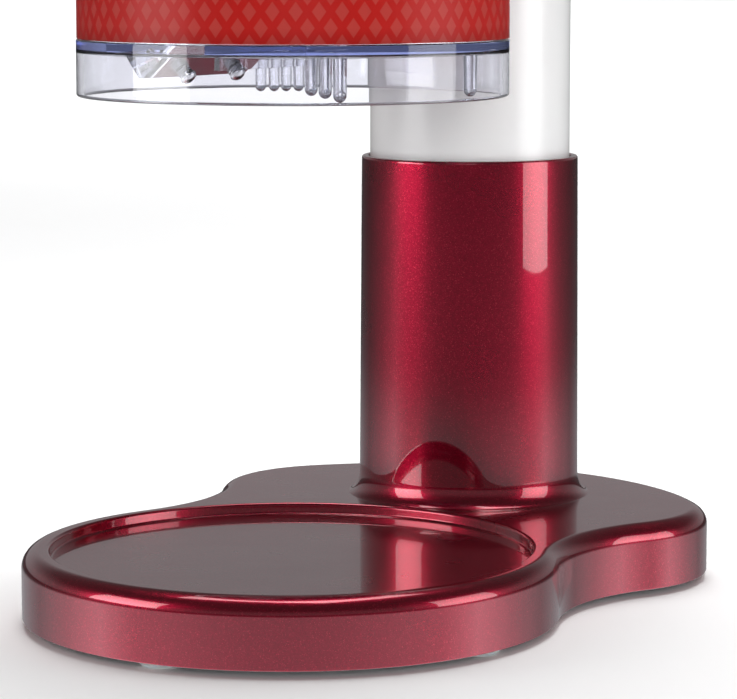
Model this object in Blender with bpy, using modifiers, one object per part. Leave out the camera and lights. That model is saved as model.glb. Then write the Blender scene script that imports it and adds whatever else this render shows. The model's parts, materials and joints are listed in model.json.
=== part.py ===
"""Shaved ice machine: a base with a glass tray and a column, and a motor head that holds a twist-off ice container.

Sizes are written in millimetres, and MM turns them into Blender's metres. +Z is up, -Y is the front,
and the origin is on the table, under the middle of the base.
"""

import math

import bmesh
import bpy
from mathutils import Matrix, Vector

MM = 0.001
GAP = 0.3
ROUND = 40
SMALL_ROUND = 12

# Base: a front disc round the tray and a rear lobe under the column, with a waist between them.
DISC_R = 90.0
WAIST_R = 70.0
CORNER_R = 47.0
CORNER_X = 47.5
CORNER_BACK = 117.0
BASE_BACK = 186.0
BUSH_OUT = 2.4
DISH_Y = (DISC_R - BASE_BACK - BUSH_OUT) / 2
COLUMN_Y = DISH_Y + 124.5
AXIS_Y = DISH_Y + 2.0
WALL_BOTTOM = 2.5
BASE_TOP = 25.5
BASE_WALL = 3.0
EDGE_ROUND = 6.0
DISH_R = 80.5
DISH_FLOOR = 21.7
DISH_CEILING = 19.0
LOBE_CEILING = BASE_TOP - BASE_WALL
PLATE_BOTTOM = WALL_BOTTOM + 0.5
PLATE_TOP = PLATE_BOTTOM + 2.0

# Column: a red sleeve moulded with the base, and a white tube that stands in it.
SLEEVE_TOP_R = 39.0
SLEEVE_FOOT_R = 39.8
SLEEVE_TOP = 148.5
FLARE_WIDE = 4.6
FLARE_HIGH = 8.0
TUBE_R = 36.0
TUBE_WALL = 2.5
TUBE_SEAT = 62.0
SLEEVE_SCREWS_Z = (84.0, 130.0)

# Ice container: an open skirt, a floor with a slot, and a straight wall under a printed sleeve.
SKIRT_BOTTOM = 175.0
SKIRT_R = 71.0
FLOOR_BOTTOM = 190.5
FLOOR_TOP = 193.3
CUP_R = 70.0
CUP_BORE = 67.5
CUP_TOP = 270.0
LABEL_R = 70.8
LABEL_TOP = 256.5
SLOT_X = (-8.5, 6.0)
SLOT_Y = (-60.0, -4.0)
BLADE_TIP = (-2.3, 194.2)
BLADE_SLOPE = 43.0
BLADE_WIDTH = 18.5
BLADE_LENGTH = 54.0
BLADE_THICK = 1.0
BLADE_SCREW_DOWN = 14.5
BLADE_SCREWS_Y = (-46.0, -17.0)
SCREW_COLLAR = 2.6
PIN_R = 2.3
PIN_BOTTOM = 175.6
GUIDE_PINS = ((42.6, -42.6), (25.0, -21.7), (11.0, -7.0), (57.6, 14.4))
FLUTE_R = 2.0
FLUTES = ((-22.0, 15.0), (-18.1, 17.2), (-14.6, 19.3), (-11.0, 21.4))
SLOT_RIB_X = (7.5, 9.3)
SLOT_RIB_Y = (-59.0, 9.0)
SLOT_RIB_BOTTOM = 185.3
TWIST_DEG = 30.0
LUG_ANGLES = (90.0, 210.0, 330.0)
LUG_WIDTH = 24.0
LEDGE_WIDTH = 31.0
CAM_ANGLE = 180.0
CAM_RISE = 1.7
CAM_LEVEL = 3.5
CAM_TOE = 0.02

# Head: a white housing and a red cover over the container and the column.
HEAD_FRONT_R = 77.0
HEAD_BACK_R = 42.0
HEAD_WALL = 2.5
HEAD_BOTTOM = 258.0
HEAD_CEILING = 272.0
HEAD_FLOOR = 274.5
HEAD_SEAM = 296.0
HEAD_TOP = 345.0
COVER_ROUND = 16.0
COLLAR_BORE = 73.5

# Drive: a motor over two reductions, all on the line from the container to the column.
PRESSURE_ANGLE = math.radians(20.0)
MODULE = 1.5
DRIVE_TEETH = 40
SMALL_TEETH = 10
LARGE_TEETH = 32
PINION_TEETH = 10
BACKLASH = 0.35
REDUCTION_Y = AXIS_Y + MODULE * (DRIVE_TEETH + SMALL_TEETH) / 2
MOTOR_Y = REDUCTION_Y + MODULE * (LARGE_TEETH + PINION_TEETH) / 2
SHAFT_R = 4.0
SHAFT_TOP = 295.5
BUSH_BORE = 4.1
BUSH_R = 6.8
GEAR_PLATE = (291.0, 293.5)
PLATE_FRONT_R = 43.0
PLATE_BACK_R = 24.0
MOTOR_R = 18.5
MOTOR = (294.0, 333.5)
MOTOR_SHAFT_R = 1.6
MOTOR_SCREW_X = 12.5

# Start button: a sprung cap in a well of the cover.
BUTTON_R = 23.2
BUTTON_TRAVEL = 3.5
WELL_R = 24.0
WELL_FLOOR = 334.0
STEM_R = 4.5
STEM_BOTTOM = 326.0
SWITCH_TOP = 321.5

# Interlock: a pin over the container's rim, and the switch it works.
INTERLOCK_R = 68.7
INTERLOCK_TIP = CUP_TOP + CAM_RISE + GAP

SCREW_HOLE_R = 1.8
SCREW_R = 1.5

PARTS = bpy.data.collections.new("shaved_ice_machine")
CUTTERS = bpy.data.collections.new("cutters")


def material(name, colour, roughness, metallic=0.0, alpha=1.0):
    made = bpy.data.materials.new(name)
    made.use_nodes = True
    shader = made.node_tree.nodes["Principled BSDF"]
    shader.inputs["Base Color"].default_value = (*colour, 1.0)
    shader.inputs["Roughness"].default_value = roughness
    shader.inputs["Metallic"].default_value = metallic
    shader.inputs["Alpha"].default_value = alpha
    return made


RED_PAINT = material("red_paint", (0.42, 0.01, 0.03), 0.25, 0.6)
WHITE_PLASTIC = material("white_plastic", (0.85, 0.85, 0.84), 0.3)
CLEAR_PLASTIC = material("clear_plastic", (0.85, 0.88, 0.93), 0.05, 0.0, 0.35)
LABEL_PRINT = material("label_print", (0.62, 0.03, 0.03), 0.45)
DARK_PLASTIC = material("dark_plastic", (0.05, 0.05, 0.055), 0.5)
GEAR_NYLON = material("gear_nylon", (0.80, 0.78, 0.70), 0.45)
STEEL = material("steel", (0.62, 0.62, 0.64), 0.25, 1.0)
BRONZE = material("bronze", (0.55, 0.36, 0.16), 0.35, 1.0)
BRASS = material("brass", (0.65, 0.48, 0.20), 0.3, 1.0)
SILICONE = material("silicone", (0.75, 0.74, 0.72), 0.4)
BLACK_RUBBER = material("black_rubber", (0.03, 0.03, 0.03), 0.7)
CHROME = material("chrome", (0.80, 0.80, 0.82), 0.08, 1.0)


# ---------------------------------------------------------------- shapes

def placed(name, mesh, paint, at=(0.0, 0.0, 0.0), turn=None):
    """A new object of the part, at a place in millimetres and with an optional rotation matrix."""
    obj = bpy.data.objects.new(name, mesh)
    PARTS.objects.link(obj)
    obj.matrix_world = Matrix.Translation(Vector(at) * MM) @ (turn or Matrix.Identity(4))
    if paint:
        mesh.materials.append(paint)
    return obj


def smooth(mesh, angle=35.0):
    mesh.shade_smooth()
    mesh.set_sharp_from_angle(angle=math.radians(angle))


def cylinder(name, radius, low, high, at=(0.0, 0.0), paint=None, sides=SMALL_ROUND, turn=None):
    """A cylinder from low to high along Z, or along the Z of a turn matrix about (at, 0)."""
    shape = bmesh.new()
    bmesh.ops.create_cone(shape, cap_ends=True, segments=sides, radius1=radius * MM, radius2=radius * MM,
                          depth=(high - low) * MM, matrix=Matrix.Translation((0, 0, (low + high) / 2 * MM)))
    mesh = bpy.data.meshes.new(name)
    shape.to_mesh(mesh)
    shape.free()
    smooth(mesh)
    origin = tuple(at) if len(at) == 3 else (*at, 0.0)
    return placed(name, mesh, paint, origin, turn)


def box(name, x, y, z, paint=None, at=(0.0, 0.0, 0.0), turn=None):
    """A box given by its low and high ends along each axis."""
    size = Vector((x[1] - x[0], y[1] - y[0], z[1] - z[0])) * MM
    middle = Vector((x[0] + x[1], y[0] + y[1], z[0] + z[1])) / 2 * MM
    shape = bmesh.new()
    bmesh.ops.create_cube(shape, size=1.0, matrix=Matrix.Translation(middle) @ Matrix.Diagonal((*size, 1.0)))
    mesh = bpy.data.meshes.new(name)
    shape.to_mesh(mesh)
    shape.free()
    return placed(name, mesh, paint, at, turn)


def turned(name, profile, at, paint=None, steps=ROUND):
    """A solid of revolution about Z. The (radius, height) profile runs down its outer side.

    Where both ends lie on the axis it is left open there, and the Screw welds it shut."""
    closed = profile[0][0] > 0 or profile[-1][0] > 0
    mesh = bpy.data.meshes.new(name)
    edges = [(i, i + 1) for i in range(len(profile) - 1)]
    if closed:
        edges.append((len(profile) - 1, 0))
    mesh.from_pydata([(r * MM, 0.0, z * MM) for r, z in profile], edges, [])
    obj = placed(name, mesh, paint, (*at, 0.0))
    screw = obj.modifiers.new("turn", "SCREW")
    screw.steps = screw.render_steps = steps
    screw.use_merge_vertices = True
    screw.merge_threshold = 0.00001
    return obj


def prism(name, loops, low, high, paint=None, at=(0.0, 0.0)):
    """A flat outline, with any holes as further loops, raised from low to high."""
    flat = bpy.data.curves.new(name, "CURVE")
    flat.dimensions = "2D"
    flat.fill_mode = "BOTH"
    flat.extrude = (high - low) / 2 * MM
    for loop in loops:
        spline = flat.splines.new("POLY")
        spline.points.add(len(loop) - 1)
        for point, (x, y) in zip(spline.points, loop):
            point.co = (x * MM, y * MM, 0.0, 1.0)
        spline.use_cyclic_u = True
    guide = bpy.data.objects.new(name + "_outline", flat)
    bpy.context.scene.collection.objects.link(guide)
    mesh = bpy.data.meshes.new_from_object(guide.evaluated_get(bpy.context.evaluated_depsgraph_get()))
    bpy.data.objects.remove(guide)
    shape = bmesh.new()
    shape.from_mesh(mesh)
    bmesh.ops.remove_doubles(shape, verts=shape.verts, dist=0.000001)
    bmesh.ops.dissolve_limit(shape, angle_limit=math.radians(0.5), verts=shape.verts, edges=shape.edges)
    bmesh.ops.recalc_face_normals(shape, faces=shape.faces)
    shape.to_mesh(mesh)
    shape.free()
    smooth(mesh)
    return placed(name, mesh, paint, (*at, (low + high) / 2))


def round_rim(obj, radius, segments, top=True):
    """Rounds the rim of a prism's top face."""
    shape = bmesh.new()
    shape.from_mesh(obj.data)
    end = max(v.co.z for v in shape.verts)
    rim = [e for e in shape.edges if all(abs(v.co.z - end) < 1e-6 for v in e.verts)
           and any(abs(f.normal.z) < 0.5 for f in e.link_faces)]
    bmesh.ops.bevel(shape, geom=rim, offset=radius * MM, segments=segments, profile=0.5,
                    affect="EDGES", clamp_overlap=False)
    bmesh.ops.remove_doubles(shape, verts=shape.verts, dist=0.00001)
    shape.to_mesh(obj.data)
    shape.free()
    smooth(obj.data)


def boolean(obj, tool, operation):
    """Cuts tool from obj, or joins it to obj. The tool goes to the cutters' collection."""
    step = obj.modifiers.new(tool.name, "BOOLEAN")
    step.operation = operation
    step.object = tool
    if tool.name in PARTS.objects:
        PARTS.objects.unlink(tool)
        CUTTERS.objects.link(tool)
    tool.hide_render = True
    tool.display_type = "WIRE"


def cut(obj, *tools):
    for tool in tools:
        boolean(obj, tool, "DIFFERENCE")


def join(obj, *tools):
    for tool in tools:
        boolean(obj, tool, "UNION")


def tube(name, points, radius, paint):
    """A round wire along a list of points, with filled ends."""
    line = bpy.data.curves.new(name, "CURVE")
    line.dimensions = "3D"
    line.bevel_depth = radius * MM
    line.bevel_resolution = 2
    line.use_fill_caps = True
    spline = line.splines.new("POLY")
    spline.points.add(len(points) - 1)
    for point, place in zip(spline.points, points):
        point.co = (*(Vector(place) * MM), 1.0)
    obj = bpy.data.objects.new(name, line)
    PARTS.objects.link(obj)
    line.materials.append(paint)
    return obj


# ---------------------------------------------------------------- outlines

def arc(centre, radius, start, end, count):
    """Points on an arc between two angles in radians, both ends included."""
    return [(centre[0] + radius * math.cos(a), centre[1] + radius * math.sin(a))
            for a in (start + (end - start) * i / (count - 1) for i in range(count))]


def direction(tail, head):
    return math.atan2(head[1] - tail[1], head[0] - tail[0])


def mirrored(right_side):
    """The whole outline, from its right side listed from the front to the back, both on the middle line."""
    left_side = [(-x, y) for x, y in reversed(right_side)]
    return right_side + left_side[1:-1]


def base_outline(inset):
    """The base from above: front disc, waist, rear corners and rear edge, all tangent arcs."""
    front = (0.0, DISH_Y)
    corner = (CORNER_X, DISH_Y + CORNER_BACK)
    between = math.dist(front, corner)
    to_waist, from_waist = DISC_R + WAIST_R, CORNER_R + WAIST_R
    along = (to_waist ** 2 - from_waist ** 2 + between ** 2) / (2 * between)
    aside = math.sqrt(to_waist ** 2 - along ** 2)
    heading = direction(front, corner)
    waist = (front[0] + along * math.cos(heading) + aside * math.sin(heading),
             front[1] + along * math.sin(heading) - aside * math.cos(heading))
    reach = BASE_BACK + DISH_Y
    behind = ((reach - CORNER_R) ** 2 - corner[1] ** 2 - corner[0] ** 2) / (2 * (reach - CORNER_R - corner[1]))
    rear = (0.0, behind)
    rear_r = reach - behind
    right = arc(front, DISC_R - inset, -math.pi / 2, direction(front, waist), 13)
    right += arc(waist, WAIST_R + inset, direction(waist, front) + 2 * math.pi,
                 direction(waist, corner), 5)[1:]
    right += arc(corner, CORNER_R - inset, direction(corner, waist), direction(rear, corner), 7)[1:]
    right += arc(rear, rear_r - inset, direction(rear, corner), math.pi / 2, 5)[1:]
    return mirrored(right)


def head_outline(inset):
    """The head from above: a circle over the container and one over the column, joined by straight sides."""
    front, back = (0.0, AXIS_Y), (0.0, COLUMN_Y)
    slant = math.asin((HEAD_FRONT_R - HEAD_BACK_R) / (COLUMN_Y - AXIS_Y))
    right = arc(front, HEAD_FRONT_R - inset, -math.pi / 2, slant, 13)
    right += arc(back, HEAD_BACK_R - inset, slant, math.pi / 2, 7)
    return mirrored(right)


def ring_sector(inner, outer, middle, width, count=4):
    """A piece of a ring, by its middle angle and width in degrees."""
    start, end = math.radians(middle - width / 2), math.radians(middle + width / 2)
    return arc((0, 0), outer, start, end, count) + arc((0, 0), inner, end, start, count)


def circle(radius, at=(0.0, 0.0), count=SMALL_ROUND):
    return arc(at, radius, 0.0, 2 * math.pi * (count - 1) / count, count)


def involute(angle):
    return math.tan(angle) - angle


def gear_outline(teeth, first_tooth, addendum=0.9, flank_points=3):
    """A spur gear with involute flanks. first_tooth is the angle of a tooth's middle, in degrees."""
    pitch_r = MODULE * teeth / 2
    base_r = pitch_r * math.cos(PRESSURE_ANGLE)
    tip_r = pitch_r + addendum * MODULE
    root_r = pitch_r - 1.25 * MODULE
    half_tooth = math.pi / (2 * teeth) - BACKLASH / (2 * pitch_r) + involute(PRESSURE_ANGLE)
    start_r = max(base_r, root_r)
    flank = []
    if root_r < base_r:
        flank.append((root_r, half_tooth))
    for i in range(flank_points):
        r = start_r + (tip_r - start_r) * i / (flank_points - 1)
        flank.append((r, half_tooth - involute(math.acos(min(1.0, base_r / r)))))
    outline = []
    for tooth in range(teeth):
        middle = math.radians(first_tooth) + 2 * math.pi * tooth / teeth
        sides = [(r, middle - a) for r, a in flank] + [(r, middle + a) for r, a in reversed(flank)]
        outline += [(r * math.cos(a), r * math.sin(a)) for r, a in sides]
    return outline


def smooth_route(points, per_span=3):
    """A Catmull-Rom curve through hand-placed points."""
    knots = [Vector(p) for p in (points[0], *points, points[-1])]
    route = []
    for a, b, c, d in zip(knots, knots[1:], knots[2:], knots[3:]):
        for step in range(per_span):
            t = step / per_span
            route.append(0.5 * (2 * b + (c - a) * t + (2 * a - 5 * b + 4 * c - d) * t ** 2
                                + (3 * b - a - 3 * c + d) * t ** 3))
    route.append(knots[-1])
    return route


def helix(radius, low, high, turns, at, per_turn=10):
    """Centre points of a compression spring along Z."""
    count = int(turns * per_turn)
    return [(at[0] + radius * math.cos(2 * math.pi * i / per_turn),
             at[1] + radius * math.sin(2 * math.pi * i / per_turn),
             low + (high - low) * i / count) for i in range(count + 1)]


# ---------------------------------------------------------------- fasteners

def screw(name, at, direction_vector, length, head_r=3.0, head_high=1.7, shaft_r=SCREW_R):
    """A pan-head screw. at is under the head, and the shaft runs along direction_vector."""
    turn = Vector((0, 0, -1)).rotation_difference(Vector(direction_vector)).to_matrix().to_4x4()
    profile = [(0.0, head_high), (head_r * 0.7, head_high * 0.85), (head_r, head_high * 0.2), (head_r, 0.0),
               (shaft_r, 0.0), (shaft_r, -length + 1.0), (0.0, -length)]
    fastener = turned(name, profile, (0.0, 0.0), STEEL, steps=8)
    fastener.matrix_world = Matrix.Translation(Vector(at) * MM) @ turn
    return fastener


def hole(name, radius, at, direction_vector, back, length):
    """A cutter for a round hole, from back behind the point at, to length in front of it."""
    turn = Vector((0, 0, 1)).rotation_difference(Vector(direction_vector)).to_matrix().to_4x4()
    return cylinder(name, radius, -back, length, (*at,), turn=turn, sides=12)


# ---------------------------------------------------------------- base

BASE_SCREWS = ((-50.0, DISH_Y - 42.0), (50.0, DISH_Y - 42.0), (-66.0, DISH_Y + 112.0), (66.0, DISH_Y + 112.0))
FEET = ((0.0, DISH_Y - 79.0), (78.0, DISH_Y - 13.0), (-78.0, DISH_Y - 13.0),
        (64.0, DISH_Y + 146.0), (-64.0, DISH_Y + 146.0))
INLET = (0.0, DISH_Y + BASE_BACK - BASE_WALL, 13.0)
INLET_HOLE_R = 5.0


def dish_cutter():
    """The tray's hollow: a rounded lip, a short wall and a flat floor."""
    profile = [(0.0, BASE_TOP + 5.0), (DISH_R + 1.6, BASE_TOP + 5.0), (DISH_R + 1.6, BASE_TOP - 0.1),
               (DISH_R, BASE_TOP - 1.3), (DISH_R - 0.2, DISH_FLOOR + 1.0), (DISH_R - 1.2, DISH_FLOOR),
               (0.0, DISH_FLOOR)]
    return turned("dish_cutter", profile, (0.0, DISH_Y))


def sleeve_body():
    """The red sleeve, with a flare where it meets the base's top and a seat for the tube inside."""
    flare = [(SLEEVE_FOOT_R + FLARE_WIDE * (1 - math.cos(a)), BASE_TOP - 0.1 + FLARE_HIGH * (1 - math.sin(a)))
             for a in (math.pi / 2 * i / 3 for i in range(4))]
    profile = [(SLEEVE_TOP_R - 0.8, SLEEVE_TOP), (SLEEVE_TOP_R, SLEEVE_TOP - 0.8),
               *flare, (SLEEVE_FOOT_R + FLARE_WIDE, LOBE_CEILING - 1.0), (TUBE_R - 3.0, LOBE_CEILING - 1.0),
               (TUBE_R - 3.0, TUBE_SEAT), (TUBE_R + 0.5, TUBE_SEAT), (TUBE_R + 0.5, SLEEVE_TOP)]
    return turned("sleeve_body", profile, (0.0, COLUMN_Y))


def make_base_shell():
    shell = prism("base_shell", [base_outline(0.0)], WALL_BOTTOM, BASE_TOP, RED_PAINT)
    round_rim(shell, EDGE_ROUND, 3)
    cut(shell, cylinder("column_hole", SLEEVE_TOP_R, 0.0, 40.0, (0.0, COLUMN_Y), sides=ROUND))
    cut(shell, prism("under_cutter", [base_outline(BASE_WALL)], 0.0, DISH_CEILING))
    lobe_hollow = prism("lobe_hollow", [base_outline(BASE_WALL + 0.5)], DISH_CEILING - 1.0, LOBE_CEILING)
    cut(lobe_hollow, cylinder("dish_keeper", DISC_R + 3.0, 0.0, 40.0, (0.0, DISH_Y), sides=ROUND))
    cut(shell, lobe_hollow)
    join(shell, sleeve_body())
    cut(shell, dish_cutter())
    for i, (x, y) in enumerate(BASE_SCREWS):
        ceiling = DISH_CEILING if y < DISH_Y + DISC_R else LOBE_CEILING
        join(shell, cylinder(f"base_boss_{i + 1}", 4.2, PLATE_TOP + GAP, ceiling + 1.0, (x, y), sides=12))
        cut(shell, cylinder(f"base_boss_hole_{i + 1}", SCREW_HOLE_R, 0.0, PLATE_TOP + 8.5, (x, y), sides=12))
    cut(shell, hole("inlet_hole", INLET_HOLE_R, INLET, (0, 1, 0), 3.0, 8.0))
    for i, z in enumerate(SLEEVE_SCREWS_Z):
        cut(shell, hole(f"sleeve_screw_hole_{i + 1}", SCREW_HOLE_R, (0.0, COLUMN_Y + TUBE_R, z), (0, 1, 0), 2.0, 8.0))


def make_base_plate():
    plate = prism("base_plate", [base_outline(BASE_WALL + 0.4)], PLATE_BOTTOM, PLATE_TOP, DARK_PLASTIC)
    for i, (x, y) in enumerate(BASE_SCREWS):
        cut(plate, cylinder(f"plate_hole_{i + 1}", 2.0, 0.0, 10.0, (x, y), sides=12))
        screw(f"base_screw_{i + 1}", (x, y, PLATE_BOTTOM - GAP), (0, 0, 1), 9.0)
    for i, (x, y) in enumerate(FEET):
        cut(plate, cylinder(f"foot_hole_{i + 1}", 2.5, 0.0, 10.0, (x, y), sides=12))


def make_feet():
    """Soft round feet, each with a barbed peg that pulls through the plate."""
    top = PLATE_BOTTOM - GAP
    profile = [(0.0, PLATE_TOP + 2.6), (1.2, PLATE_TOP + 2.6), (2.1, PLATE_TOP + 0.6), (2.1, top), (6.8, top),
               (6.8, 0.8), (6.0, 0.0), (0.0, 0.0)]
    for i, place in enumerate(FEET):
        turned(f"foot_{i + 1}", profile, place, SILICONE, steps=14)


def make_inlet():
    """The bush that lines the cable's hole in the rear wall, and the lead from it up to the head's switch."""
    turn = Matrix.Rotation(math.radians(-90), 4, "X")
    bush = turned("inlet_bush", [(7.0, 5.4), (7.0, 3.4), (4.6, 3.4), (4.6, -1.2), (5.6, -1.8), (5.6, -3.2),
                                 (2.6, -3.2), (2.6, 5.4)], (0.0, 0.0), BLACK_RUBBER, steps=20)
    bush.matrix_world = Matrix.Translation(Vector(INLET) * MM) @ turn
    route = [(0.0, INLET[1] + 3.5, INLET[2]), (0.0, INLET[1] - 10.0, INLET[2]), (0.0, INLET[1] - 35.0, 12.0),
             (0.0, COLUMN_Y + 14.0, 13.0), (0.0, COLUMN_Y + 2.0, 22.0), (2.0, COLUMN_Y + 4.0, 60.0),
             (-2.0, COLUMN_Y - 2.0, 120.0), (2.0, COLUMN_Y + 2.0, 190.0), (0.0, COLUMN_Y, 240.0),
             (0.0, COLUMN_Y, 272.0), (0.0, COLUMN_Y, 290.0), (8.0, COLUMN_Y - 12.0, 302.0),
             (25.0, MOTOR_Y + 10.0, 304.0), (27.0, MOTOR_Y - 12.0, 304.0), (24.0, AXIS_Y + 28.0, 307.0),
             (20.0, AXIS_Y + 8.0, 313.0), (12.8, AXIS_Y, 316.0)]
    tube("internal_lead", smooth_route(route), 2.1, BLACK_RUBBER)


def make_column():
    column = turned("column_tube", [(TUBE_R, HEAD_CEILING - GAP), (TUBE_R, TUBE_SEAT + GAP),
                                    (TUBE_R - TUBE_WALL, TUBE_SEAT + GAP), (TUBE_R - TUBE_WALL, HEAD_CEILING - GAP)],
                    (0.0, COLUMN_Y), WHITE_PLASTIC)
    for i, z in enumerate(SLEEVE_SCREWS_Z):
        cut(column, hole(f"tube_screw_hole_{i + 1}", SCREW_HOLE_R, (0.0, COLUMN_Y + TUBE_R, z), (0, 1, 0), 5.0, 5.0))
        sleeve_r = SLEEVE_FOOT_R + (SLEEVE_TOP_R - SLEEVE_FOOT_R) * (z - BASE_TOP) / (SLEEVE_TOP - BASE_TOP)
        screw(f"column_screw_{i + 1}", (0.0, COLUMN_Y + sleeve_r + GAP, z), (0, -1, 0), 8.0)


# ---------------------------------------------------------------- ice container

def slope_frame():
    """The blade's own axes: x out of its face, y along its edge, z up its slope to the cutting edge."""
    slope = math.radians(BLADE_SLOPE)
    up = Vector((math.cos(slope), 0.0, math.sin(slope)))
    out = Vector((math.sin(slope), 0.0, -math.cos(slope)))
    turn = Matrix((out, Vector((0, 1, 0)), up)).transposed().to_4x4()
    return turn, out, up


def make_container():
    """The clear cup: its floor and slot, the wedge for the blade, the rib and pins under it, and the lugs."""
    profile = [(0.0, FLOOR_TOP), (CUP_BORE, FLOOR_TOP), (CUP_BORE, CUP_TOP), (CUP_R, CUP_TOP),
               (CUP_R, FLOOR_TOP + GAP), (SKIRT_R, FLOOR_TOP + GAP), (SKIRT_R, SKIRT_BOTTOM + 0.8),
               (SKIRT_R - 0.8, SKIRT_BOTTOM), (SKIRT_R - 2.4, SKIRT_BOTTOM), (SKIRT_R - 2.4, FLOOR_BOTTOM),
               (0.0, FLOOR_BOTTOM)]
    cup = turned("ice_container", profile, (0.0, AXIS_Y), CLEAR_PLASTIC)
    cut(cup, box("ice_slot", SLOT_X, SLOT_Y, (FLOOR_BOTTOM - 2.0, FLOOR_TOP + 2.0), at=(0.0, AXIS_Y, 0.0)))
    slope = math.tan(math.radians(BLADE_SLOPE))
    behind = BLADE_THICK / math.sin(math.radians(BLADE_SLOPE)) + 0.35

    def back_of_blade(z):
        return BLADE_TIP[0] + (z - BLADE_TIP[1]) / slope - behind

    low = FLOOR_BOTTOM - 8.0
    wedge = [(back_of_blade(FLOOR_TOP - 0.1), FLOOR_TOP - 0.1), (SLOT_X[0] - 7.5, FLOOR_TOP - 0.1),
             (SLOT_X[0] - 16.0, FLOOR_BOTTOM), (back_of_blade(low) - 1.6, low), (back_of_blade(low), low)]
    stand = Matrix.Rotation(math.radians(90), 4, "X")
    block = prism("blade_wedge", [wedge], 0.0, SLOT_Y[1] - SLOT_Y[0] + 2.0)
    block.matrix_world = Matrix.Translation(Vector((0, AXIS_Y + SLOT_Y[1] + 1.0, 0)) * MM) @ stand \
        @ Matrix.Translation((0, 0, (SLOT_Y[1] - SLOT_Y[0] + 2.0) / 2 * MM))
    join(cup, block)
    turn, out, up = slope_frame()
    tip = Vector((BLADE_TIP[0], AXIS_Y, BLADE_TIP[1]))
    for i, y in enumerate(BLADE_SCREWS_Y):
        place = tip - up * BLADE_SCREW_DOWN + Vector((0, y, 0))
        cut(cup, hole(f"wedge_hole_{i + 1}", 1.5, tuple(place), tuple(-out), 3.0, 8.0))
    join(cup, box("slot_rib", SLOT_RIB_X, SLOT_RIB_Y, (SLOT_RIB_BOTTOM, FLOOR_BOTTOM + 1.0), at=(0.0, AXIS_Y, 0.0)))
    pins = [(place, PIN_R) for place in GUIDE_PINS] + [(place, FLUTE_R) for place in FLUTES]
    for i, ((x, y), r) in enumerate(pins):
        pin = turned(f"guide_pin_{i + 1}", [(0.0, FLOOR_BOTTOM + 1.0), (r, FLOOR_BOTTOM + 1.0),
                                            (r, PIN_BOTTOM + 2.0), (r * 0.7, PIN_BOTTOM + 0.6),
                                            (0.0, PIN_BOTTOM)], (x, AXIS_Y + y), steps=12)
        join(cup, pin)
    for i, angle in enumerate(LUG_ANGLES):
        join(cup, prism(f"lug_{i + 1}", [ring_sector(CUP_R - 1.0, COLLAR_BORE - 0.5, angle, LUG_WIDTH)],
                        262.0, 266.0, at=(0.0, AXIS_Y)))
    join(cup, cam_ramp())


def cam_ramp():
    """The cam on the rim that lifts the interlock pin: it rises CAM_RISE over the twist, then stays level."""
    inner, outer = CUP_BORE + 0.3, CUP_R - 0.3
    count = 8
    stations = [(-CAM_LEVEL, CAM_RISE)]
    stations += [(TWIST_DEG * i / count, CAM_RISE * (1 - i / count)) for i in range(count)]
    stations.append((TWIST_DEG, CAM_TOE))
    shape = bmesh.new()
    rings = []
    for angle, rise in stations:
        a = math.radians(CAM_ANGLE - angle)
        corners = [(inner, CUP_TOP - 1.0), (outer, CUP_TOP - 1.0), (outer, CUP_TOP + rise), (inner, CUP_TOP + rise)]
        rings.append([shape.verts.new((r * math.cos(a) * MM, r * math.sin(a) * MM, z * MM)) for r, z in corners])
    for first, second in zip(rings, rings[1:]):
        for i in range(4):
            shape.faces.new((first[i], first[(i + 1) % 4], second[(i + 1) % 4], second[i]))
    shape.faces.new(rings[0])
    shape.faces.new(rings[-1])
    bmesh.ops.recalc_face_normals(shape, faces=shape.faces)
    mesh = bpy.data.meshes.new("cam_ramp")
    shape.to_mesh(mesh)
    shape.free()
    return placed("cam_ramp", mesh, None, (0.0, AXIS_Y, 0.0))


def make_label():
    turned("label_sleeve", [(LABEL_R, LABEL_TOP), (LABEL_R, FLOOR_TOP + 2 * GAP), (CUP_R + 0.25, FLOOR_TOP + 2 * GAP),
                            (CUP_R + 0.25, LABEL_TOP)], (0.0, AXIS_Y), LABEL_PRINT)


def blade_screw(name, at, into):
    """A round-headed screw with a ribbed collar that stands on the blade."""
    turn = Vector((0, 0, -1)).rotation_difference(into).to_matrix().to_4x4()
    profile = [(0.0, SCREW_COLLAR + 1.9), (1.9, SCREW_COLLAR + 1.5), (2.8, SCREW_COLLAR), (2.1, SCREW_COLLAR - 0.4),
               (2.1, 0.0), (1.15, 0.0), (1.15, -6.5), (0.0, -7.5)]
    fastener = turned(name, profile, (0.0, 0.0), STEEL, steps=10)
    fastener.matrix_world = Matrix.Translation(at * MM) @ turn


def make_blade():
    turn, out, up = slope_frame()
    tip = Vector((BLADE_TIP[0], AXIS_Y, BLADE_TIP[1]))
    middle = (SLOT_Y[0] + SLOT_Y[1]) / 2
    half = BLADE_LENGTH / 2
    blade = box("blade", (-BLADE_THICK, 0.0), (middle - half, middle + half), (-BLADE_WIDTH, 0.0), STEEL,
                at=tuple(tip), turn=turn)
    grind = box("blade_grind", (-4.0, 0.0), (middle - half - 2.0, middle + half + 2.0), (0.0, 4.0), at=tuple(tip),
                turn=turn @ Matrix.Rotation(math.radians(35), 4, "Y"))
    cut(blade, grind)
    for i, y in enumerate(BLADE_SCREWS_Y):
        place = tip - up * BLADE_SCREW_DOWN + Vector((0, y, 0))
        cut(blade, hole(f"blade_hole_{i + 1}", 1.7, tuple(place), tuple(-out), 3.0, 4.0))
        blade_screw(f"blade_screw_{i + 1}", place + out * GAP, -out)


# ---------------------------------------------------------------- head

HEAD_SCREWS = ((-44.0, AXIS_Y - 38.0), (44.0, AXIS_Y - 38.0), (-41.0, AXIS_Y + 82.0), (41.0, AXIS_Y + 82.0))
PLATE_POSTS = ((-37.0, AXIS_Y - 6.0), (37.0, AXIS_Y - 6.0), (0.0, AXIS_Y + 96.0))


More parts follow.
